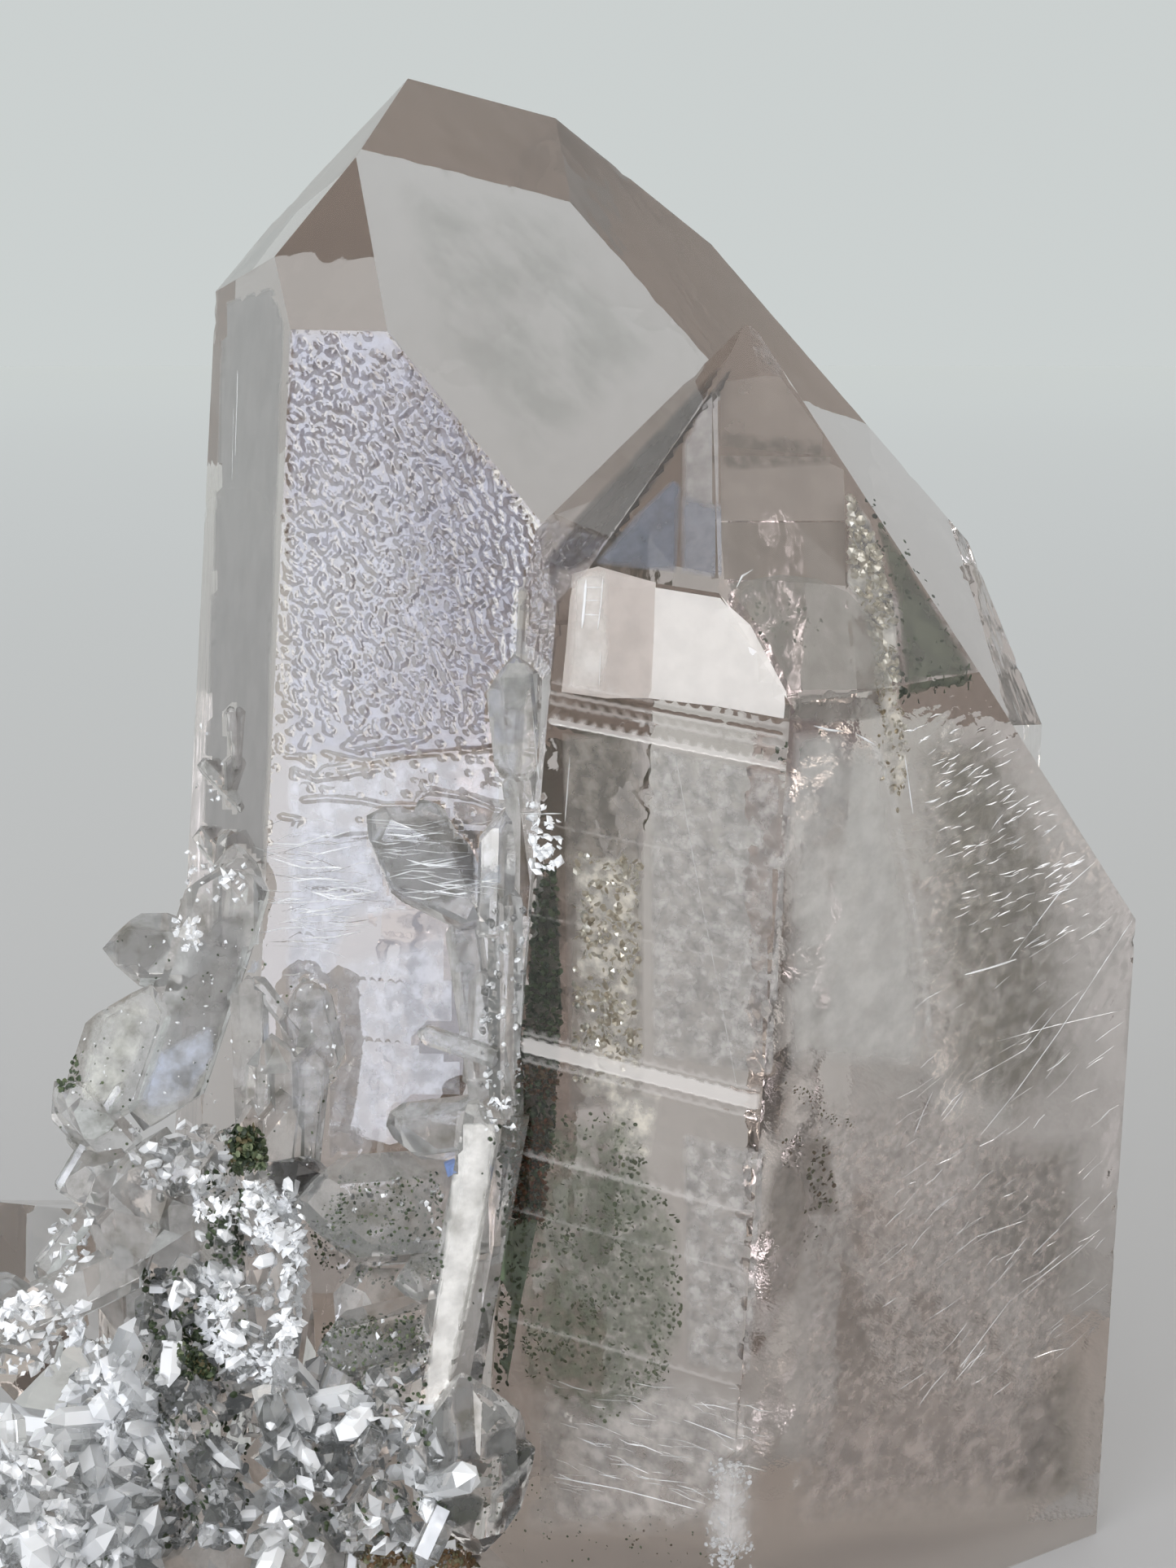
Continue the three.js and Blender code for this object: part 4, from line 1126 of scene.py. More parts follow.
# Tints go from -1, dark, past 0, clear, to 1, white. Each facet differs from its piece by one of the first,
# which paints reflections on the facets.
FACET_REFLECTIONS = (-0.45, -0.2, 0.0, 0.0, 0.1, 0.2, 0.3)
DARK_MIXED = (-0.8, -0.5, -0.25, -0.1, 0.1, 0.3, 0.95)
GLASSY = (-0.4, -0.15, 0.0, 0.1, 0.2, 0.35, 0.7, 1.0)
CLEAR_MOSTLY = (-0.15, 0.05, 0.15, 0.3, 0.5, 0.8)
HALF_WHITE = (0.0, 0.15, 0.35, 0.6, 0.85, 1.0)
MOSTLY_WHITE = (0.35, 0.6, 0.8, 0.9, 1.0, 1.1)
WHITE = (0.75, 0.85, 0.95, 1.0)
GRIT_SHARDS = (
    (GRIT_CRUST, 700, (0.30, 0.75), WHITE, 301, 0.35),
    (GRIT_CRUST_LEFT, 150, (0.25, 0.62), WHITE, 313, 0.4),
    (GRIT_GREY, 230, (0.2, 0.9), DARK_MIXED, 314),
    (GRIT_LEFT, 330, (0.3, 1.3), MOSTLY_WHITE, 315, 0.4),
    # White shards over the rods and the branch: white quartz, with painted highlights.
    (GRIT_RODS, 110, (0.25, 0.9), MOSTLY_WHITE, 321, 0.4),
    (GRIT_BRANCH, 40, (0.2, 0.7), MOSTLY_WHITE, 322, 0.4),
    # White flecks over the small crystals: painted highlights on their bright facets.
    (SMALL_LEFT, 150, (0.06, 0.22), WHITE, 317, 0.8),
    (GRIT_MIDDLE, 240, (0.25, 1.2), GLASSY, 316),
    (LENS_UPPER, 60, (0.08, 0.42), GLASSY, 318, 0.7),
    (LENS_LOWER, 45, (0.08, 0.36), GLASSY, 319, 0.7),
    (NICKS_HIGH, 34, (0.2, 0.55), WHITE, 306),
    (NICKS_LOW, 8, (0.15, 0.35), WHITE, 307),
    (HEX_FOOT, 34, (0.2, 0.5), WHITE, 312),
    (FIBRES, 60, (0.2, 0.6), WHITE, 309),
    (PRISM_CROWN, 30, (0.15, 0.45), WHITE, 310),
)
# These rows may also say how far the points lean and how slender they are, before the clumps.
GRIT_POINTS = (
    (GRIT_WHITE, 60, (0.2, 0.6), HALF_WHITE, 311),
    (GRIT_GREY, 130, (0.25, 0.85), DARK_MIXED, 302, 1.2, (1.2, 3.0), 0.5),
    (GRIT_LEFT, 110, (0.4, 1.3), CLEAR_MOSTLY, 303, 1.2, (1.2, 3.6), 0.4),
    (GRIT_MIDDLE, 80, (0.3, 1.2), GLASSY, 304, 1.2, (1.2, 3.6), 0.4),
    (GRIT_UPPER, 60, (0.2, 0.6), CLEAR_MOSTLY, 305),
    (SEAM_GRIT, 46, (0.10, 0.30), CLEAR_MOSTLY, 308),
)
# Outline, count, lengths in pixels, lean in degrees, widths, tints and seed.
STROKES = (
    (TICKS, 150, (9, 24), 27.0, (0.06, 0.13), (0.15, 0.9), 331),
    (TICKS_LOW, 110, (14, 60), 40.0, (0.04, 0.08), (0.1, 0.5), 332),
    (FRONT_LOW, 170, (24, 90), 1.0, (0.05, 0.12), (0.0, 0.9), 333),
    (STEPPED_LOW, 80, (14, 50), -14.0, (0.04, 0.09), (0.1, 0.7), 334),
)
FROST_INSIDE = (
    (FROST_PATCH, 240, (0.4, 2.2), (0.08, 0.24), (0.6, 1.0), 320),
)
# Fine light lines: path in pixels, width, whiteness.
SCRATCHES = (
    (((1186, 1198), (1215, 1190), (1249, 1179)), 0.16, 1.0),
    (((1205, 1395), (1250, 1340), (1300, 1270), (1392, 1130)), 0.07, 0.5),
    (((1225, 1280), (1290, 1262), (1385, 1240)), 0.06, 0.4),
    (((1190, 1330), (1260, 1290), (1300, 1240)), 0.07, 0.5),
    (((1240, 1180), (1300, 1100), (1345, 1060)), 0.06, 0.5),
    (((1150, 1560), (1200, 1520), (1260, 1500)), 0.06, 0.4),
    (((1180, 1680), (1240, 1600), (1330, 1530)), 0.06, 0.4),
    (((680, 1815), (760, 1830), (855, 1855)), 0.09, 0.8),
    (((840, 1745), (872, 1757), (905, 1770)), 0.09, 0.8),
    (((829, 925), (840, 985), (850, 1045), (862, 1110)), 0.05, 0.4),
    (((862, 1110), (880, 1200), (905, 1335)), 0.05, 0.3),
    (((720, 712), (718, 740), (715, 772)), 0.20, 1.0), (((741, 708), (738, 745), (734, 775)), 0.08, 1.0),
    (((718, 722), (740, 722)), 0.10, 1.0), (((717, 738), (738, 738)), 0.08, 1.0),
    (((716, 755), (736, 756)), 0.10, 1.0), (((738, 800), (736, 845)), 0.06, 0.8),
    (((292, 455), (291, 500), (289, 560)), 0.10, 0.4), (((287, 500), (285, 590)), 0.06, 0.3),
    (((280, 880), (278, 940)), 0.24, 0.8), (((1112, 930), (1122, 1000)), 0.10, 0.7),
    (((655, 880), (662, 960)), 0.08, 0.5), (((700, 930), (694, 1010)), 0.08, 0.4),
    # White lines along the chipped front edge: the chips, with painted highlights where they catch light.
    (((1000, 892), (1018, 897), (1036, 899)), 0.16, 1.0), (((1052, 902), (1075, 915)), 0.16, 1.0),
    (((640, 1000), (690, 1000)), 0.10, 0.8), (((905, 722), (912, 708), (925, 700)), 0.16, 0.6),
)


def heap(*kinds):
    """A pile of small pieces. Each kind is a function that scatters them, and its rows."""
    pile = Pile()
    for scatter, rows in kinds:
        for row in rows:
            scatter(pile, *row)
    return pile


def make_inclusions():
    green = heap((scatter_flakes, CHLORITE_INSIDE), (scatter_crust, CHLORITE_OUTSIDE))
    green.make("chlorite_flakes", chlorite_material(), "chlorite")
    bright = heap((scatter_flakes, BRIGHT_INSIDE))
    bright.make("bright_flakes", flake_material("bright_flakes", BRIGHT_TONES, 0.28, 0.7), "chlorite")


def make_grit():
    grit = heap((scatter_shards, GRIT_SHARDS), (scatter_points, GRIT_POINTS), (ribbon, SCRATCHES),
                (scatter_strokes, STROKES))
    grit.make("quartz_grit", grit_material(), "quartz")
    heap((scatter_flakes, FROST_INSIDE)).make("frost_inside", grit_material(), "quartz")


# Thin sheets inside, and what they let through: some are chlorite and cloudy zones, many are painted light,
# painted shade and painted reflections

# Name: depth behind the surface, look, width in pixels over which it fades, and outline in pixels.
SHEETS = {
    # Painted light: a bright window that the front crystal shows by total inner reflection.
    "white_flat": (0.25, "white", 0, [(805, 722), (885, 735), (922, 768), (966, 850), (963, 883),
        (880, 868), (797, 858), (803, 790)]),
    # Painted reflection: the pinkish patch beside it and its lighter part.
    "pink_flat": (0.25, "pink", 0, [(703, 705), (735, 696), (806, 716), (800, 858), (745, 858), (690, 850),
        (695, 800)]),
    "pink_light": (0.2, "milk_thin", 12, [(706, 706), (748, 698), (750, 790), (742, 856), (696, 850),
        (698, 790)]),
    "face_shade": (1.0, "shade", 8, [(668, 700), (702, 640), (790, 545), (878, 452), (890, 446), (880, 474),
        (842, 540), (800, 604), (728, 690), (700, 704)]),
    "edge_dark": (0.8, "red_dark", 4, [(660, 700), (684, 668), (690, 720), (684, 800), (674, 840),
        (660, 826)]),
    "beige_flat_a": (2.4, "beige", 0, [(885, 470), (940, 462), (958, 462), (1012, 535), (1008, 560),
        (885, 548)]),
    "beige_flat_b": (2.4, "beige_pale", 0, [(885, 560), (1036, 562), (1039, 640), (886, 640)]),
    "beige_flat_c": (2.4, "brown", 0, [(885, 642), (1039, 642), (1039, 720), (960, 714), (890, 712)]),
    "beige_lines": (2.2, "lines", 8, [(885, 528), (1010, 540), (1030, 572), (885, 580)]),
    "blue_flat": (1.2, "blue", 6, [(728, 694), (780, 632), (830, 585), (838, 600), (832, 705)]),
    "blue_flat_b": (1.2, "blue_pale", 8, [(836, 604), (884, 620), (884, 712), (834, 706)]),
    "slate_flat": (1.2, "slate", 8, [(838, 545), (868, 480), (884, 478), (884, 625), (836, 625)]),
    "curved_flat": (0.6, "olive", 0, [(893, 718), (960, 706), (1005, 712), (1042, 728), (1068, 755),
        (1088, 800), (1094, 846), (972, 848), (940, 780)]),
    "dim_flat": (2.0, "olive_dim", 4, [(972, 852), (1092, 849), (1094, 882), (1010, 892), (968, 884)]),
    "pale_column": (1.0, "pale", 24, [(1012, 895), (1060, 906), (1084, 928), (1100, 980), (1118, 1080),
        (1132, 1180), (1138, 1260), (1130, 1312), (960, 1312), (963, 1100), (966, 900)]),
    "column_rim": (0.8, "film_pale", 7, [(1060, 904), (1082, 918), (1104, 980), (1124, 1090), (1140, 1190),
        (1150, 1290), (1140, 1300), (1130, 1200), (1112, 1095), (1092, 985), (1074, 930)]),
    # Painted shade: dark sheets over the right side, its foot and the arch.
    "shade_right": (3.0, "painted_shade", 60, [(1115, 900), (1225, 880), (1330, 1060), (1340, 1330), (1250, 1400),
        (1150, 1340), (1146, 1240), (1130, 1100)]),
    "shade_low": (3.0, "painted_shade", 50, [(1180, 1400), (1340, 1390), (1345, 1590), (1260, 1620), (1185, 1560)]),
    "shade_foot": (2.0, "painted_shade", 40, [(1230, 1730), (1335, 1640), (1338, 1850), (1215, 1850)]),
    "shade_arch": (2.0, "painted_shade_pale", 30, [(962, 1480), (1060, 1470), (1075, 1690), (960, 1720)]),
    "brown_pane": (2.6, "pane", 7, [(690, 900), (792, 905), (792, 1350), (698, 1370), (694, 1100)]),
    # Painted glints: gold sheets where the crystal sparkles with light from other directions.
    "gold_pane": (1.8, "gold", 14, [(704, 1050), (790, 1050), (790, 1345), (712, 1350)]),
    "gold_low": (1.8, "gold", 16, [(740, 1330), (815, 1345), (800, 1430), (745, 1420)]),
    "moss_flat": (1.2, "moss", 22, [(648, 1372), (775, 1365), (806, 1440), (838, 1500), (840, 1645),
        (815, 1710), (742, 1760), (636, 1700), (640, 1500)]),
    "moss_deep": (2.6, "moss", 30, [(660, 1440), (790, 1420), (832, 1520), (830, 1640), (760, 1720),
        (660, 1690)]),
    "band_flat": (2.6, "band", 0, [(660, 1075), (684, 1080), (690, 1240), (680, 1377), (660, 1500),
        (624, 1500), (634, 1400), (648, 1230)]),
    "band_low": (2.2, "band_pale", 0, [(624, 1501), (660, 1501), (640, 1602), (624, 1694), (604, 1694),
        (610, 1602)]),
    # Painted glint: a silvery sheet where the wedge sparkles.
    "wedge_left": (2.2, "silver", 5, [(1044, 604), (1070, 640), (1100, 740), (1108, 838), (1076, 836),
        (1062, 760), (1040, 716)]),
    "wedge_right": (3.0, "wedge", 6, [(1072, 634), (1100, 668), (1200, 830), (1112, 840), (1102, 740)]),
    # Painted glint along the rim.
    "rim_gold": (1.6, "gold", 6, [(1078, 836), (1104, 846), (1118, 930), (1106, 996), (1086, 960)]),
    "left_veil": (0.5, "veil", 5, [(272, 372), (336, 350), (350, 400), (341, 640), (333, 872), (326, 1070),
        (246, 1070), (257, 763), (266, 570)]),
    "etch_veil": (0.5, "lilac", 8, [(352, 408), (476, 404), (645, 628), (664, 700), (640, 800), (650, 915),
        (538, 925), (483, 931), (446, 940), (398, 927), (352, 934)]),
    "etch_veil_low": (0.5, "lilac_pale", 8, [(352, 936), (398, 929), (446, 942), (483, 933), (538, 927),
        (640, 918), (610, 1110), (430, 1130), (400, 1250), (352, 1250)]),
    "plate_haze": (0.4, "haze", 6, [(452, 1046), (476, 1012), (530, 998), (575, 1008), (598, 1040),
        (586, 1085), (552, 1112), (500, 1102), (462, 1076)]),
    "plate_grey": (0.5, "plate", 10, [(234, 1160), (262, 1125), (310, 1116), (302, 1190), (270, 1290),
        (232, 1345), (180, 1345), (205, 1265), (224, 1205)]),
    # Painted reflections: blue patches on the plate and the wing.
    "plate_blue": (0.3, "sky", 8, [(168, 1350), (196, 1290), (262, 1258), (266, 1296), (232, 1352),
        (184, 1366)]),
    "plate_sky": (0.3, "sky", 4, [(288, 1200), (322, 1168), (322, 1190), (300, 1206)]),
    "wing_sky": (0.2, "sky", 2, [(580, 1092), (618, 1050), (618, 1088)]),
    "prism_haze": (0.6, "green_milk", 8, [(98, 1300), (122, 1235), (182, 1222), (186, 1262), (150, 1350),
        (98, 1362)]),
    "tip_haze": (0.4, "haze", 5, [(136, 1150), (165, 1134), (204, 1142), (212, 1166), (180, 1198),
        (142, 1192)]),
    "stub_haze": (0.12, "stub", 2, [(331, 1426), (366, 1419), (384, 1422), (402, 1446), (390, 1468),
        (346, 1472), (328, 1450)]),
    "lens_haze": (1.0, "lens", 14, [(378, 1500), (440, 1458), (535, 1450), (535, 1565), (470, 1574),
        (400, 1550)]),
    "lens_low_haze": (0.8, "lens_dark", 8, [(398, 1630), (515, 1617), (518, 1676), (432, 1684),
        (402, 1664)]),
    # Painted highlight: the glare on the tip of the upright head crystal.
    "head_light": (0.12, "tip_light", 5, [(611, 835), (627, 806), (650, 812), (656, 842), (642, 876),
        (618, 876)]),
    "chip_a": (0.12, "tip_light", 0, [(322, 1320), (340, 1284), (357, 1318)]),
    "chip_b": (0.12, "tip_light", 0, [(361, 1300), (373, 1245), (390, 1276)]),
    "chip_c": (0.12, "milk", 0, [(216, 1150), (232, 1126), (247, 1160)]),
    "blue_glint": (0.12, "glint", 0, [(545, 1428), (558, 1424), (562, 1441), (550, 1446)]),
    "prism_milk": (0.25, "milk", 3, [(566, 1380), (610, 1380), (603, 1450), (588, 1560), (562, 1680),
        (518, 1772), (519, 1720), (541, 1560), (555, 1450)]),
    "tip_side": (0.12, "tip_grey", 2, [(545, 1703), (557, 1745), (561, 1790), (541, 1836), (527, 1792),
        (517, 1786), (529, 1741)]),
    "tip_core": (0.1, "core", 2, [(551, 1701), (568, 1684), (583, 1694), (582, 1745), (585, 1794),
        (566, 1796), (558, 1745)]),
    "tip_stripe": (0.1, "white", 0, [(581, 1708), (592, 1724), (590, 1790), (585, 1784)]),
    "tip_green": (0.1, "tip", 0, [(593, 1722), (616, 1741), (598, 1762), (592, 1754)]),
    "tip_face": (0.14, "tip_grey", 3, [(598, 1764), (622, 1746), (650, 1776), (622, 1790), (590, 1796)]),
    "tip_green_low": (0.1, "tip", 0, [(620, 1791), (652, 1778), (652, 1788), (629, 1812)]),
    "tip_flat": (0.1, "white", 0, [(550, 1824), (561, 1800), (575, 1797), (556, 1822)]),
    "tip_brown": (0.1, "arch_deep", 0, [(575, 1804), (582, 1797), (601, 1799), (594, 1812)]),
    "tip_bar": (0.12, "tip_light", 0, [(575, 1824), (582, 1815), (600, 1815), (607, 1826), (553, 1833)]),
    "tip_rim": (0.12, "tip_light", 2, [(650, 1757), (655, 1780), (650, 1808), (615, 1838), (608, 1878),
        (598, 1870), (604, 1834), (646, 1794)]),
    "tip_edge": (0.14, "arch_deep", 2, [(652, 1808), (646, 1838), (615, 1881), (596, 1908), (608, 1866),
        (630, 1830)]),
    "tip_low": (0.14, "tip", 5, [(534, 1843), (580, 1833), (597, 1843), (592, 1868), (555, 1880),
        (531, 1868)]),
    "tip_foot": (0.12, "core_pale", 4, [(508, 1890), (580, 1894), (596, 1908), (586, 1925), (508, 1925)]),
    "wedge_light": (0.3, "milk", 3, [(436, 1756), (512, 1732), (512, 1756)]),
    "wedge_light_b": (0.3, "milk", 4, [(436, 1728), (500, 1700), (470, 1735)]),
    "frost_flat": (0.6, "frost", 22, [(880, 1800), (900, 1786), (920, 1815), (928, 1870), (922, 1910),
        (866, 1910), (862, 1870)]),
    "arch_shade": (1.4, "arch", 5, [(986, 1402), (1018, 1392), (1034, 1494), (978, 1496)]),
    "arch_shade_left": (0.8, "arch_pale", 16, [(940, 1440), (984, 1380), (1004, 1500), (985, 1600),
        (932, 1600)]),
    "front_mottle": (1.8, "mottle", 6, [(796, 915), (964, 950), (955, 1100), (939, 1322), (800, 1300)]),
    "foot_mottle": (1.8, "mottle", 8, [(836, 1390), (932, 1412), (911, 1690), (842, 1680)]),
    "right_mottle": (2.4, "mottle_warm", 40, [(965, 1330), (1130, 1340), (1330, 1420), (1330, 1840),
        (965, 1880)]),
    "low_light": (0.6, "lilac_pale", 20, [(350, 1240), (420, 1180), (560, 1130), (600, 1140), (585, 1380),
        (480, 1400), (420, 1440), (352, 1400)]),
    "low_mottle": (1.2, "mottle_blue", 20, [(345, 1010), (610, 1010), (600, 1100), (440, 1120), (400, 1200),
        (350, 1250)]),
    "panel_haze": (1.5, "film", 60, [(480, 215), (690, 250), (840, 420), (650, 600), (520, 420)]),
    "low_veil": (1.4, "low", 40, [(650, 1700), (850, 1690), (945, 1720), (945, 1890), (640, 1890)]),
    "low_veil_right": (1.4, "low_warm", 50, [(965, 1700), (1330, 1690), (1325, 1860), (965, 1890)]),
}

# Colour, brightness of its dark parts, share that hides what lies behind, painted glow of its own,
# how far clouds break it up, and how fine those are.
SHEET_LOOKS = {
    "white": ((0.95, 0.92, 0.89), 0.93, 0.80, 0.16, 0.0, 700),
    "pink": ((0.80, 0.72, 0.67), 0.9, 0.64, 0.14, 0.1, 500),
    "milk_thin": ((0.95, 0.93, 0.90), 0.88, 0.62, 0.14, 0.35, 600),
    "shade": ((0.15, 0.13, 0.12), 0.8, 0.78, 0.0, 0.2, 400),
    "red_dark": ((0.15, 0.11, 0.105), 0.6, 0.62, 0.0, 0.5, 900),
    "beige": ((0.48, 0.41, 0.36), 0.9, 0.50, 0.0, 0.1, 400),
    "beige_pale": ((0.56, 0.49, 0.44), 0.9, 0.55, 0.0, 0.1, 400),
    "brown": ((0.42, 0.36, 0.31), 0.9, 0.60, 0.0, 0.1, 400),
    "lines": ((0.28, 0.24, 0.20), 0.8, 0.35, 0.0, 0.9, 900),
    "blue": ((0.31, 0.34, 0.42), 0.88, 0.60, 0.0, 0.2, 900),
    "blue_pale": ((0.50, 0.52, 0.59), 0.9, 0.52, 0.0, 0.2, 900),
    "slate": ((0.74, 0.71, 0.70), 0.85, 0.52, 0.0, 0.2, 900),
    "olive": ((0.46, 0.45, 0.40), 0.8, 0.42, 0.0, 0.3, 900),
    "olive_dim": ((0.46, 0.43, 0.39), 0.85, 0.50, 0.0, 0.3, 900),
    "pale": ((0.95, 0.94, 0.91), 0.80, 0.55, 0.04, 0.35, 500),
    "film_pale": ((0.95, 0.95, 0.93), 0.8, 0.50, 0.12, 0.5, 700),
    "lilac": ((0.66, 0.70, 0.92), 0.6, 0.30, 0.02, 0.5, 1200),
    "lilac_pale": ((0.88, 0.90, 0.98), 0.5, 0.42, 0.10, 0.6, 900),
    # Painted shade for the shade sheets.
    "painted_shade": ((0.24, 0.21, 0.14), 0.6, 0.46, 0.0, 0.5, 900),
    "painted_shade_pale": ((0.30, 0.26, 0.22), 0.7, 0.18, 0.0, 0.6, 400),
    "pane": ((0.56, 0.51, 0.45), 0.5, 0.55, 0.02, 0.4, 900),
    # Painted golden glint.
    "gold": ((0.95, 0.90, 0.78), 0.35, 0.80, 0.18, 0.7, 900),
    "moss": ((0.34, 0.38, 0.27), 0.6, 0.40, 0.0, 0.9, 1300),
    "band": ((0.06, 0.085, 0.05), 0.6, 0.62, 0.0, 0.3, 600),
    "band_pale": ((0.25, 0.36, 0.21), 0.6, 0.85, 0.02, 0.2, 600),
    "arch": ((0.34, 0.27, 0.21), 0.6, 0.40, 0.0, 0.5, 900),
    "arch_pale": ((0.48, 0.42, 0.37), 0.7, 0.70, 0.0, 0.3, 900),
    "arch_deep": ((0.11, 0.075, 0.055), 0.6, 0.86, 0.0, 0.2, 900),
    "mottle": ((0.95, 0.93, 0.91), 0.40, 0.42, 0.04, 0.7, 1100),
    "mottle_warm": ((0.84, 0.74, 0.68), 0.40, 0.40, 0.03, 0.7, 1500),
    "mottle_blue": ((0.80, 0.82, 0.92), 0.40, 0.40, 0.0, 0.8, 1000),
    "tip_grey": ((0.15, 0.147, 0.13), 0.7, 0.88, 0.0, 0.2, 900),
    "tip_light": ((0.72, 0.72, 0.69), 0.6, 0.80, 0.04, 0.4, 900),
    "core_pale": ((0.13, 0.075, 0.045), 0.35, 0.88, 0.0, 0.3, 900),
    # Painted silvery glint.
    "silver": ((0.95, 0.94, 0.88), 0.07, 0.80, 0.06, 0.3, 600),
    "wedge": ((0.15, 0.17, 0.11), 0.55, 0.78, 0.0, 0.15, 500),
    "veil": ((0.57, 0.54, 0.525), 0.92, 0.86, 0.0, 0.1, 250),
    "film": ((0.36, 0.38, 0.34), 0.9, 0.18, 0.0, 0.8, 200),
    "haze": ((0.30, 0.275, 0.255), 0.85, 0.66, 0.0, 0.2, 700),
    "plate": ((0.52, 0.51, 0.50), 0.75, 0.50, 0.0, 0.5, 600),
    # Painted blue reflection with painted glow.
    "sky": ((0.66, 0.76, 0.95), 0.7, 0.80, 0.22, 0.5, 900),
    "glint": ((0.18, 0.36, 0.85), 0.7, 0.85, 0.08, 0.3, 900),
    "green_milk": ((0.90, 0.93, 0.87), 0.5, 0.75, 0.20, 0.6, 700),
    "stub": ((0.03, 0.02, 0.02), 0.4, 0.90, 0.0, 0.2, 700),
    "lens": ((0.27, 0.27, 0.22), 0.6, 0.50, 0.0, 0.6, 700),
    "lens_dark": ((0.17, 0.16, 0.11), 0.55, 0.66, 0.0, 0.5, 800),
    "milk": ((0.95, 0.95, 0.93), 0.78, 0.88, 0.26, 0.35, 700),
    "frost": ((0.92, 0.90, 0.89), 0.85, 0.66, 0.12, 0.7, 700),
    "core": ((0.04, 0.014, 0.008), 0.3, 0.96, 0.0, 0.1, 900),
    "tip": ((0.06, 0.068, 0.04), 0.3, 0.92, 0.0, 0.2, 700),
    "low": ((0.95, 0.90, 0.86), 0.55, 0.58, 0.05, 0.5, 700),
    "low_warm": ((0.80, 0.70, 0.65), 0.45, 0.42, 0.03, 0.8, 600),
}
SHEET_THICKNESS = 0.05
SHEET_BRIDGE = 0.35  # longest side of a triangle, in millimetres for each pixel of its spacing
# Pixels between a sheet's corners: bounds where it fades, inside one that doesn't, and along its rim.
FINEST, COARSEST, SPACING_UNFADED, RIM_SPACING = 6.0, 16.0, 18.0, 14.0
RAGGED_LEAST, RAGGED_MORE, RAGGED_SEED = 0.6, 0.8, 61  # how unevenly its rim fades


def rim_gaps(pixels, path):
    """Distance in pixels from each pixel to a closed path."""
    starts = np.array(path, float)
    steps = np.roll(starts, -1, 0) - starts
    gaps = []
    for p in np.array(pixels, float):
        along = ((p - starts) * steps).sum(1) / np.maximum((steps * steps).sum(1), 1e-9)
        nearest = starts + np.clip(along, 0, 1)[:, None] * steps
        gaps.append(np.hypot(*(p - nearest).T).min())
    return np.array(gaps)


def make_sheet(name, depth, look, fade, outline):
    """A thin closed plate in the quartz whose outline is seen at those pixels."""
    spacing = min(max(0.5 * fade, FINEST), COARSEST) if fade else SPACING_UNFADED
    path = steps_along([*outline, outline[0]], min(RIM_SPACING, spacing))
    columns, rows = (np.arange(min(k) + spacing / 2, max(k), spacing) for k in zip(*outline))
    inner = [(x, y) for x in columns for y in rows if within(sides(outline), x, y)]
    inner = [p for p, gap in zip(inner, rim_gaps(inner, path)) if gap > RIM_GAP * spacing]
    pixels = np.array(path + inner)
    filled = np.array(fill_outline(pixels, sides(range(len(path))), 1, 1e-6))[:, ::-1]
    # A triangle that would bridge two crystals, or that leaves the quartz, is left out.
    nowhere = np.full(3, np.nan)
    met = [inside_at(px, py, depth) or (nowhere, nowhere) for px, py in pixels]
    front, ways = (np.array([m[k] for m in met]) for k in (0, 1))
    reach = np.linalg.norm(front[filled] - front[np.roll(filled, 1, 1)], axis=2).max(1)
    used, kept = np.unique(filled[reach < SHEET_BRIDGE * spacing], return_inverse=True)
    kept, count = kept.reshape(-1, 3).tolist(), len(used)
    faces = kept + [[k + count for k in reversed(t)] for t in kept]
    rim = dict.fromkeys(side for t in kept for side in sides(t))
    for a, b in rim:
        if (b, a) not in rim:
            faces += [(b, a, a + count), (b, a + count, b + count)]
    cover = np.ones(count)
    if fade:
        chosen = pixels[used]
        ragged = RAGGED_LEAST + RAGGED_MORE * value_noise(*chosen.T, 2 * fade, 2 * fade, RAGGED_SEED)
        cover = ramp(rim_gaps(chosen, path) * ragged, 0.0, fade)
    corners = np.vstack([front[used], front[used] + ways[used] * SHEET_THICKNESS])
    material = bpy.data.materials.get("sheet_" + look) or sheet_material(look)
    make_piece(name, corners, faces, material, {"tint": np.tile(cover, 2)}, tinted="POINT")


TUFT_PLATES = 420
PLATE_SUNK, PLATE_RADII, PLATE_THICKNESS = (0.05, 0.6), (0.12, 0.34), (0.3, 0.6)
TUFT_TINTS, TUFT_SHARES = (0.05, 0.3, 0.55, 0.72), (0.35, 0.25, 0.2, 0.2)


def make_tuft(node, name, seed):
    """Fine plates over the solid of a chlorite tuft, inside the space that it holds."""
    corners, triangles = node_arrays(node)
    rng = np.random.default_rng(seed)
    a, b, c = (corners[triangles[:, k]] for k in range(3))
    _, area = face_measures(corners, triangles)
    middle = (corners.min(0) + corners.max(0)) / 2
    pile = Pile()
    for t in rng.choice(len(triangles), TUFT_PLATES, p=area / area.sum()):
        s, r = math.sqrt(rng.random()), rng.random()
        place = a[t] * (1 - s) + b[t] * s * (1 - r) + c[t] * s * r
        place = place + (middle - place) * rng.uniform(*PLATE_SUNK)
        radius = rng.uniform(*PLATE_RADII)
        shape, faces = flake(radius, radius * rng.uniform(*PLATE_THICKNESS))
        pile.put(shape @ turned(rng).T + place, faces, rng.choice(TUFT_TINTS, p=TUFT_SHARES))
    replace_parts(pile.make(name, chlorite_material(), "chlorite"), node)


make_quartz()
make_inclusions()
make_grit()
for sheet, values in SHEETS.items():
    make_sheet(sheet, *values)
make_tuft("chlorite_tuft_upper", "chlorite_fans_upper", 401)
make_tuft("chlorite_tuft_lower", "chlorite_fans_lower", 402)


# The floor, the light and the camera. Lengths are in metres.

FLOOR_RADIUS = 6.0
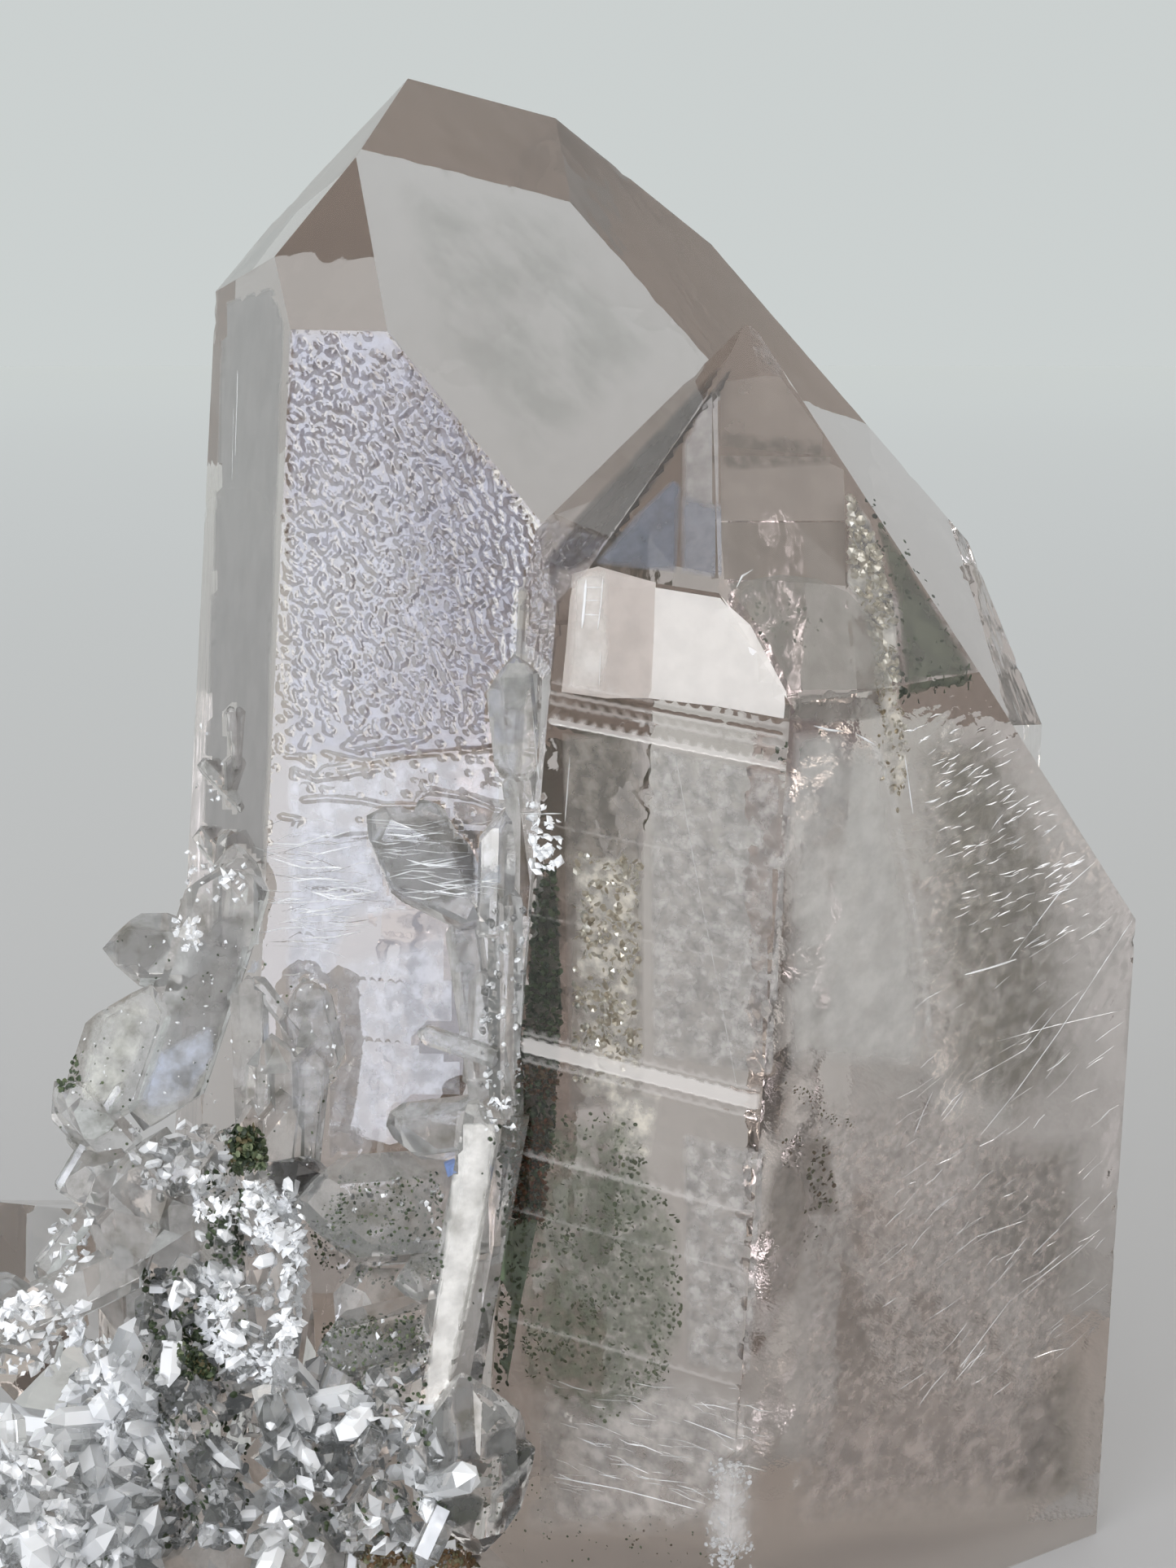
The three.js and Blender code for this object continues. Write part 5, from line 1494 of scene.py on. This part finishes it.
# Colours of the floor, by the fourth root of the distance as a share of its radius. Darker near the stones:
# painted shade.
FLOOR_TONES_WITH_SHADE = ((0.36, (0.485, 0.485, 0.49)), (0.54, (0.545, 0.56, 0.567)), (0.64, (0.577, 0.60, 0.61)),
               (0.84, (0.622, 0.654, 0.66)), (1.0, (0.635, 0.668, 0.666)))
FLOOR_DROP = 0.00005
HORIZON, ZENITH = (0.60, 0.635, 0.63), (1.52, 1.48, 1.45)
ZENITH_WAY, ZENITH_REACH = (0.45, -0.45, 0.77), (0.45, 0.95)
DIM_WALL = (0.22, 0.21, 0.20)
DIM_WAY, DIM_REACH = (-0.392, 0.840, 0.375), (0.954, 0.981)
LAMP_DISTANCE = 0.7
LAMPS_FACE = Vector((0.0, -0.01, 0.06))


def make_floor():
    bm = bmesh.new()
    bmesh.ops.create_circle(bm, cap_ends=True, segments=96, radius=FLOOR_RADIUS)
    mesh = bpy.data.meshes.new("floor")
    bm.to_mesh(mesh)
    bm.free()
    material, shader = new_material("pale_floor")
    reach = shader.add("VectorMath", shader.add("TexCoord", out="Object"), out="Value", operation="LENGTH")
    share = shader.math("POWER", shader.math("DIVIDE", reach, FLOOR_RADIUS), 0.25)
    colour = shader.toned(share, FLOOR_TONES_WITH_SHADE)
    shader.add("OutputMaterial", shader.add("BsdfPrincipled", colour, Roughness=0.9, Specular_IOR_Level=0.0))
    mesh.materials.append(material)
    floor = put_in_scene("floor", mesh)
    floor.location.z = -FLOOR_DROP


def make_world():
    """Soft studio light: pale all round, brighter above, with one dim wall behind on the left."""
    world = bpy.data.worlds.new("studio")
    world.use_nodes = True
    shader = Shader(world.node_tree)
    way = shader.add("TexCoord", out="Generated")

    def towards(middle, reach):
        lift = shader.add("VectorMath", way, unit(middle).tolist(), out="Value", operation="DOT_PRODUCT")
        return shader.spread(lift, *reach, interpolation_type="SMOOTHSTEP")

    sky = shader.blend(towards(ZENITH_WAY, ZENITH_REACH), HORIZON, ZENITH)
    whole = shader.blend(towards(DIM_WAY, DIM_REACH), sky, DIM_WALL)
    shade = world.node_tree.nodes["Background"]
    world.node_tree.links.new(whole, shade.inputs["Color"])
    shade.inputs["Strength"].default_value = 1.0
    bpy.context.scene.world = world


def area_light(name, way, size, radiance, colour):
    """A flat lamp that shows that radiance to the stones."""
    lamp = bpy.data.lights.new(name, "AREA")
    lamp.shape = "RECTANGLE"
    lamp.size, lamp.size_y = size
    lamp.energy = radiance * math.pi * size[0] * size[1]
    lamp.color = colour
    holder = put_in_scene(name, lamp)
    way = Vector(way).normalized()
    holder.location = LAMPS_FACE + way * LAMP_DISTANCE
    holder.rotation_euler = (-way).to_track_quat("-Z", "Y").to_euler()


def make_camera():
    data = bpy.data.cameras.new("camera")
    data.sensor_width = SENSOR_MM
    data.lens = SENSOR_MM * FOCAL_PIXELS / IMAGE_SIZE[1]
    data.clip_start = 0.01
    data.clip_end = 50.0
    camera = put_in_scene("camera", data)
    camera.location = (CAMERA_PLACE * MM).tolist()
    camera.rotation_euler = (CAMERA_PITCH, 0.0, 0.0)
    bpy.context.scene.camera = camera


make_floor()
make_world()
area_light("window_card", (-0.41, -0.88, 0.17), (0.20, 0.36), 6.0, (0.82, 0.86, 1.0))
area_light("step_card", (-0.65, -0.76, 0.10), (0.15, 0.30), 8.0, (1.0, 0.98, 0.95))
make_camera()
scene = bpy.context.scene
scene.view_settings.view_transform = "Standard"
scene.cycles.max_bounces = 14
scene.cycles.transmission_bounces = 14
scene.cycles.glossy_bounces = 8
scene.cycles.transparent_max_bounces = 16
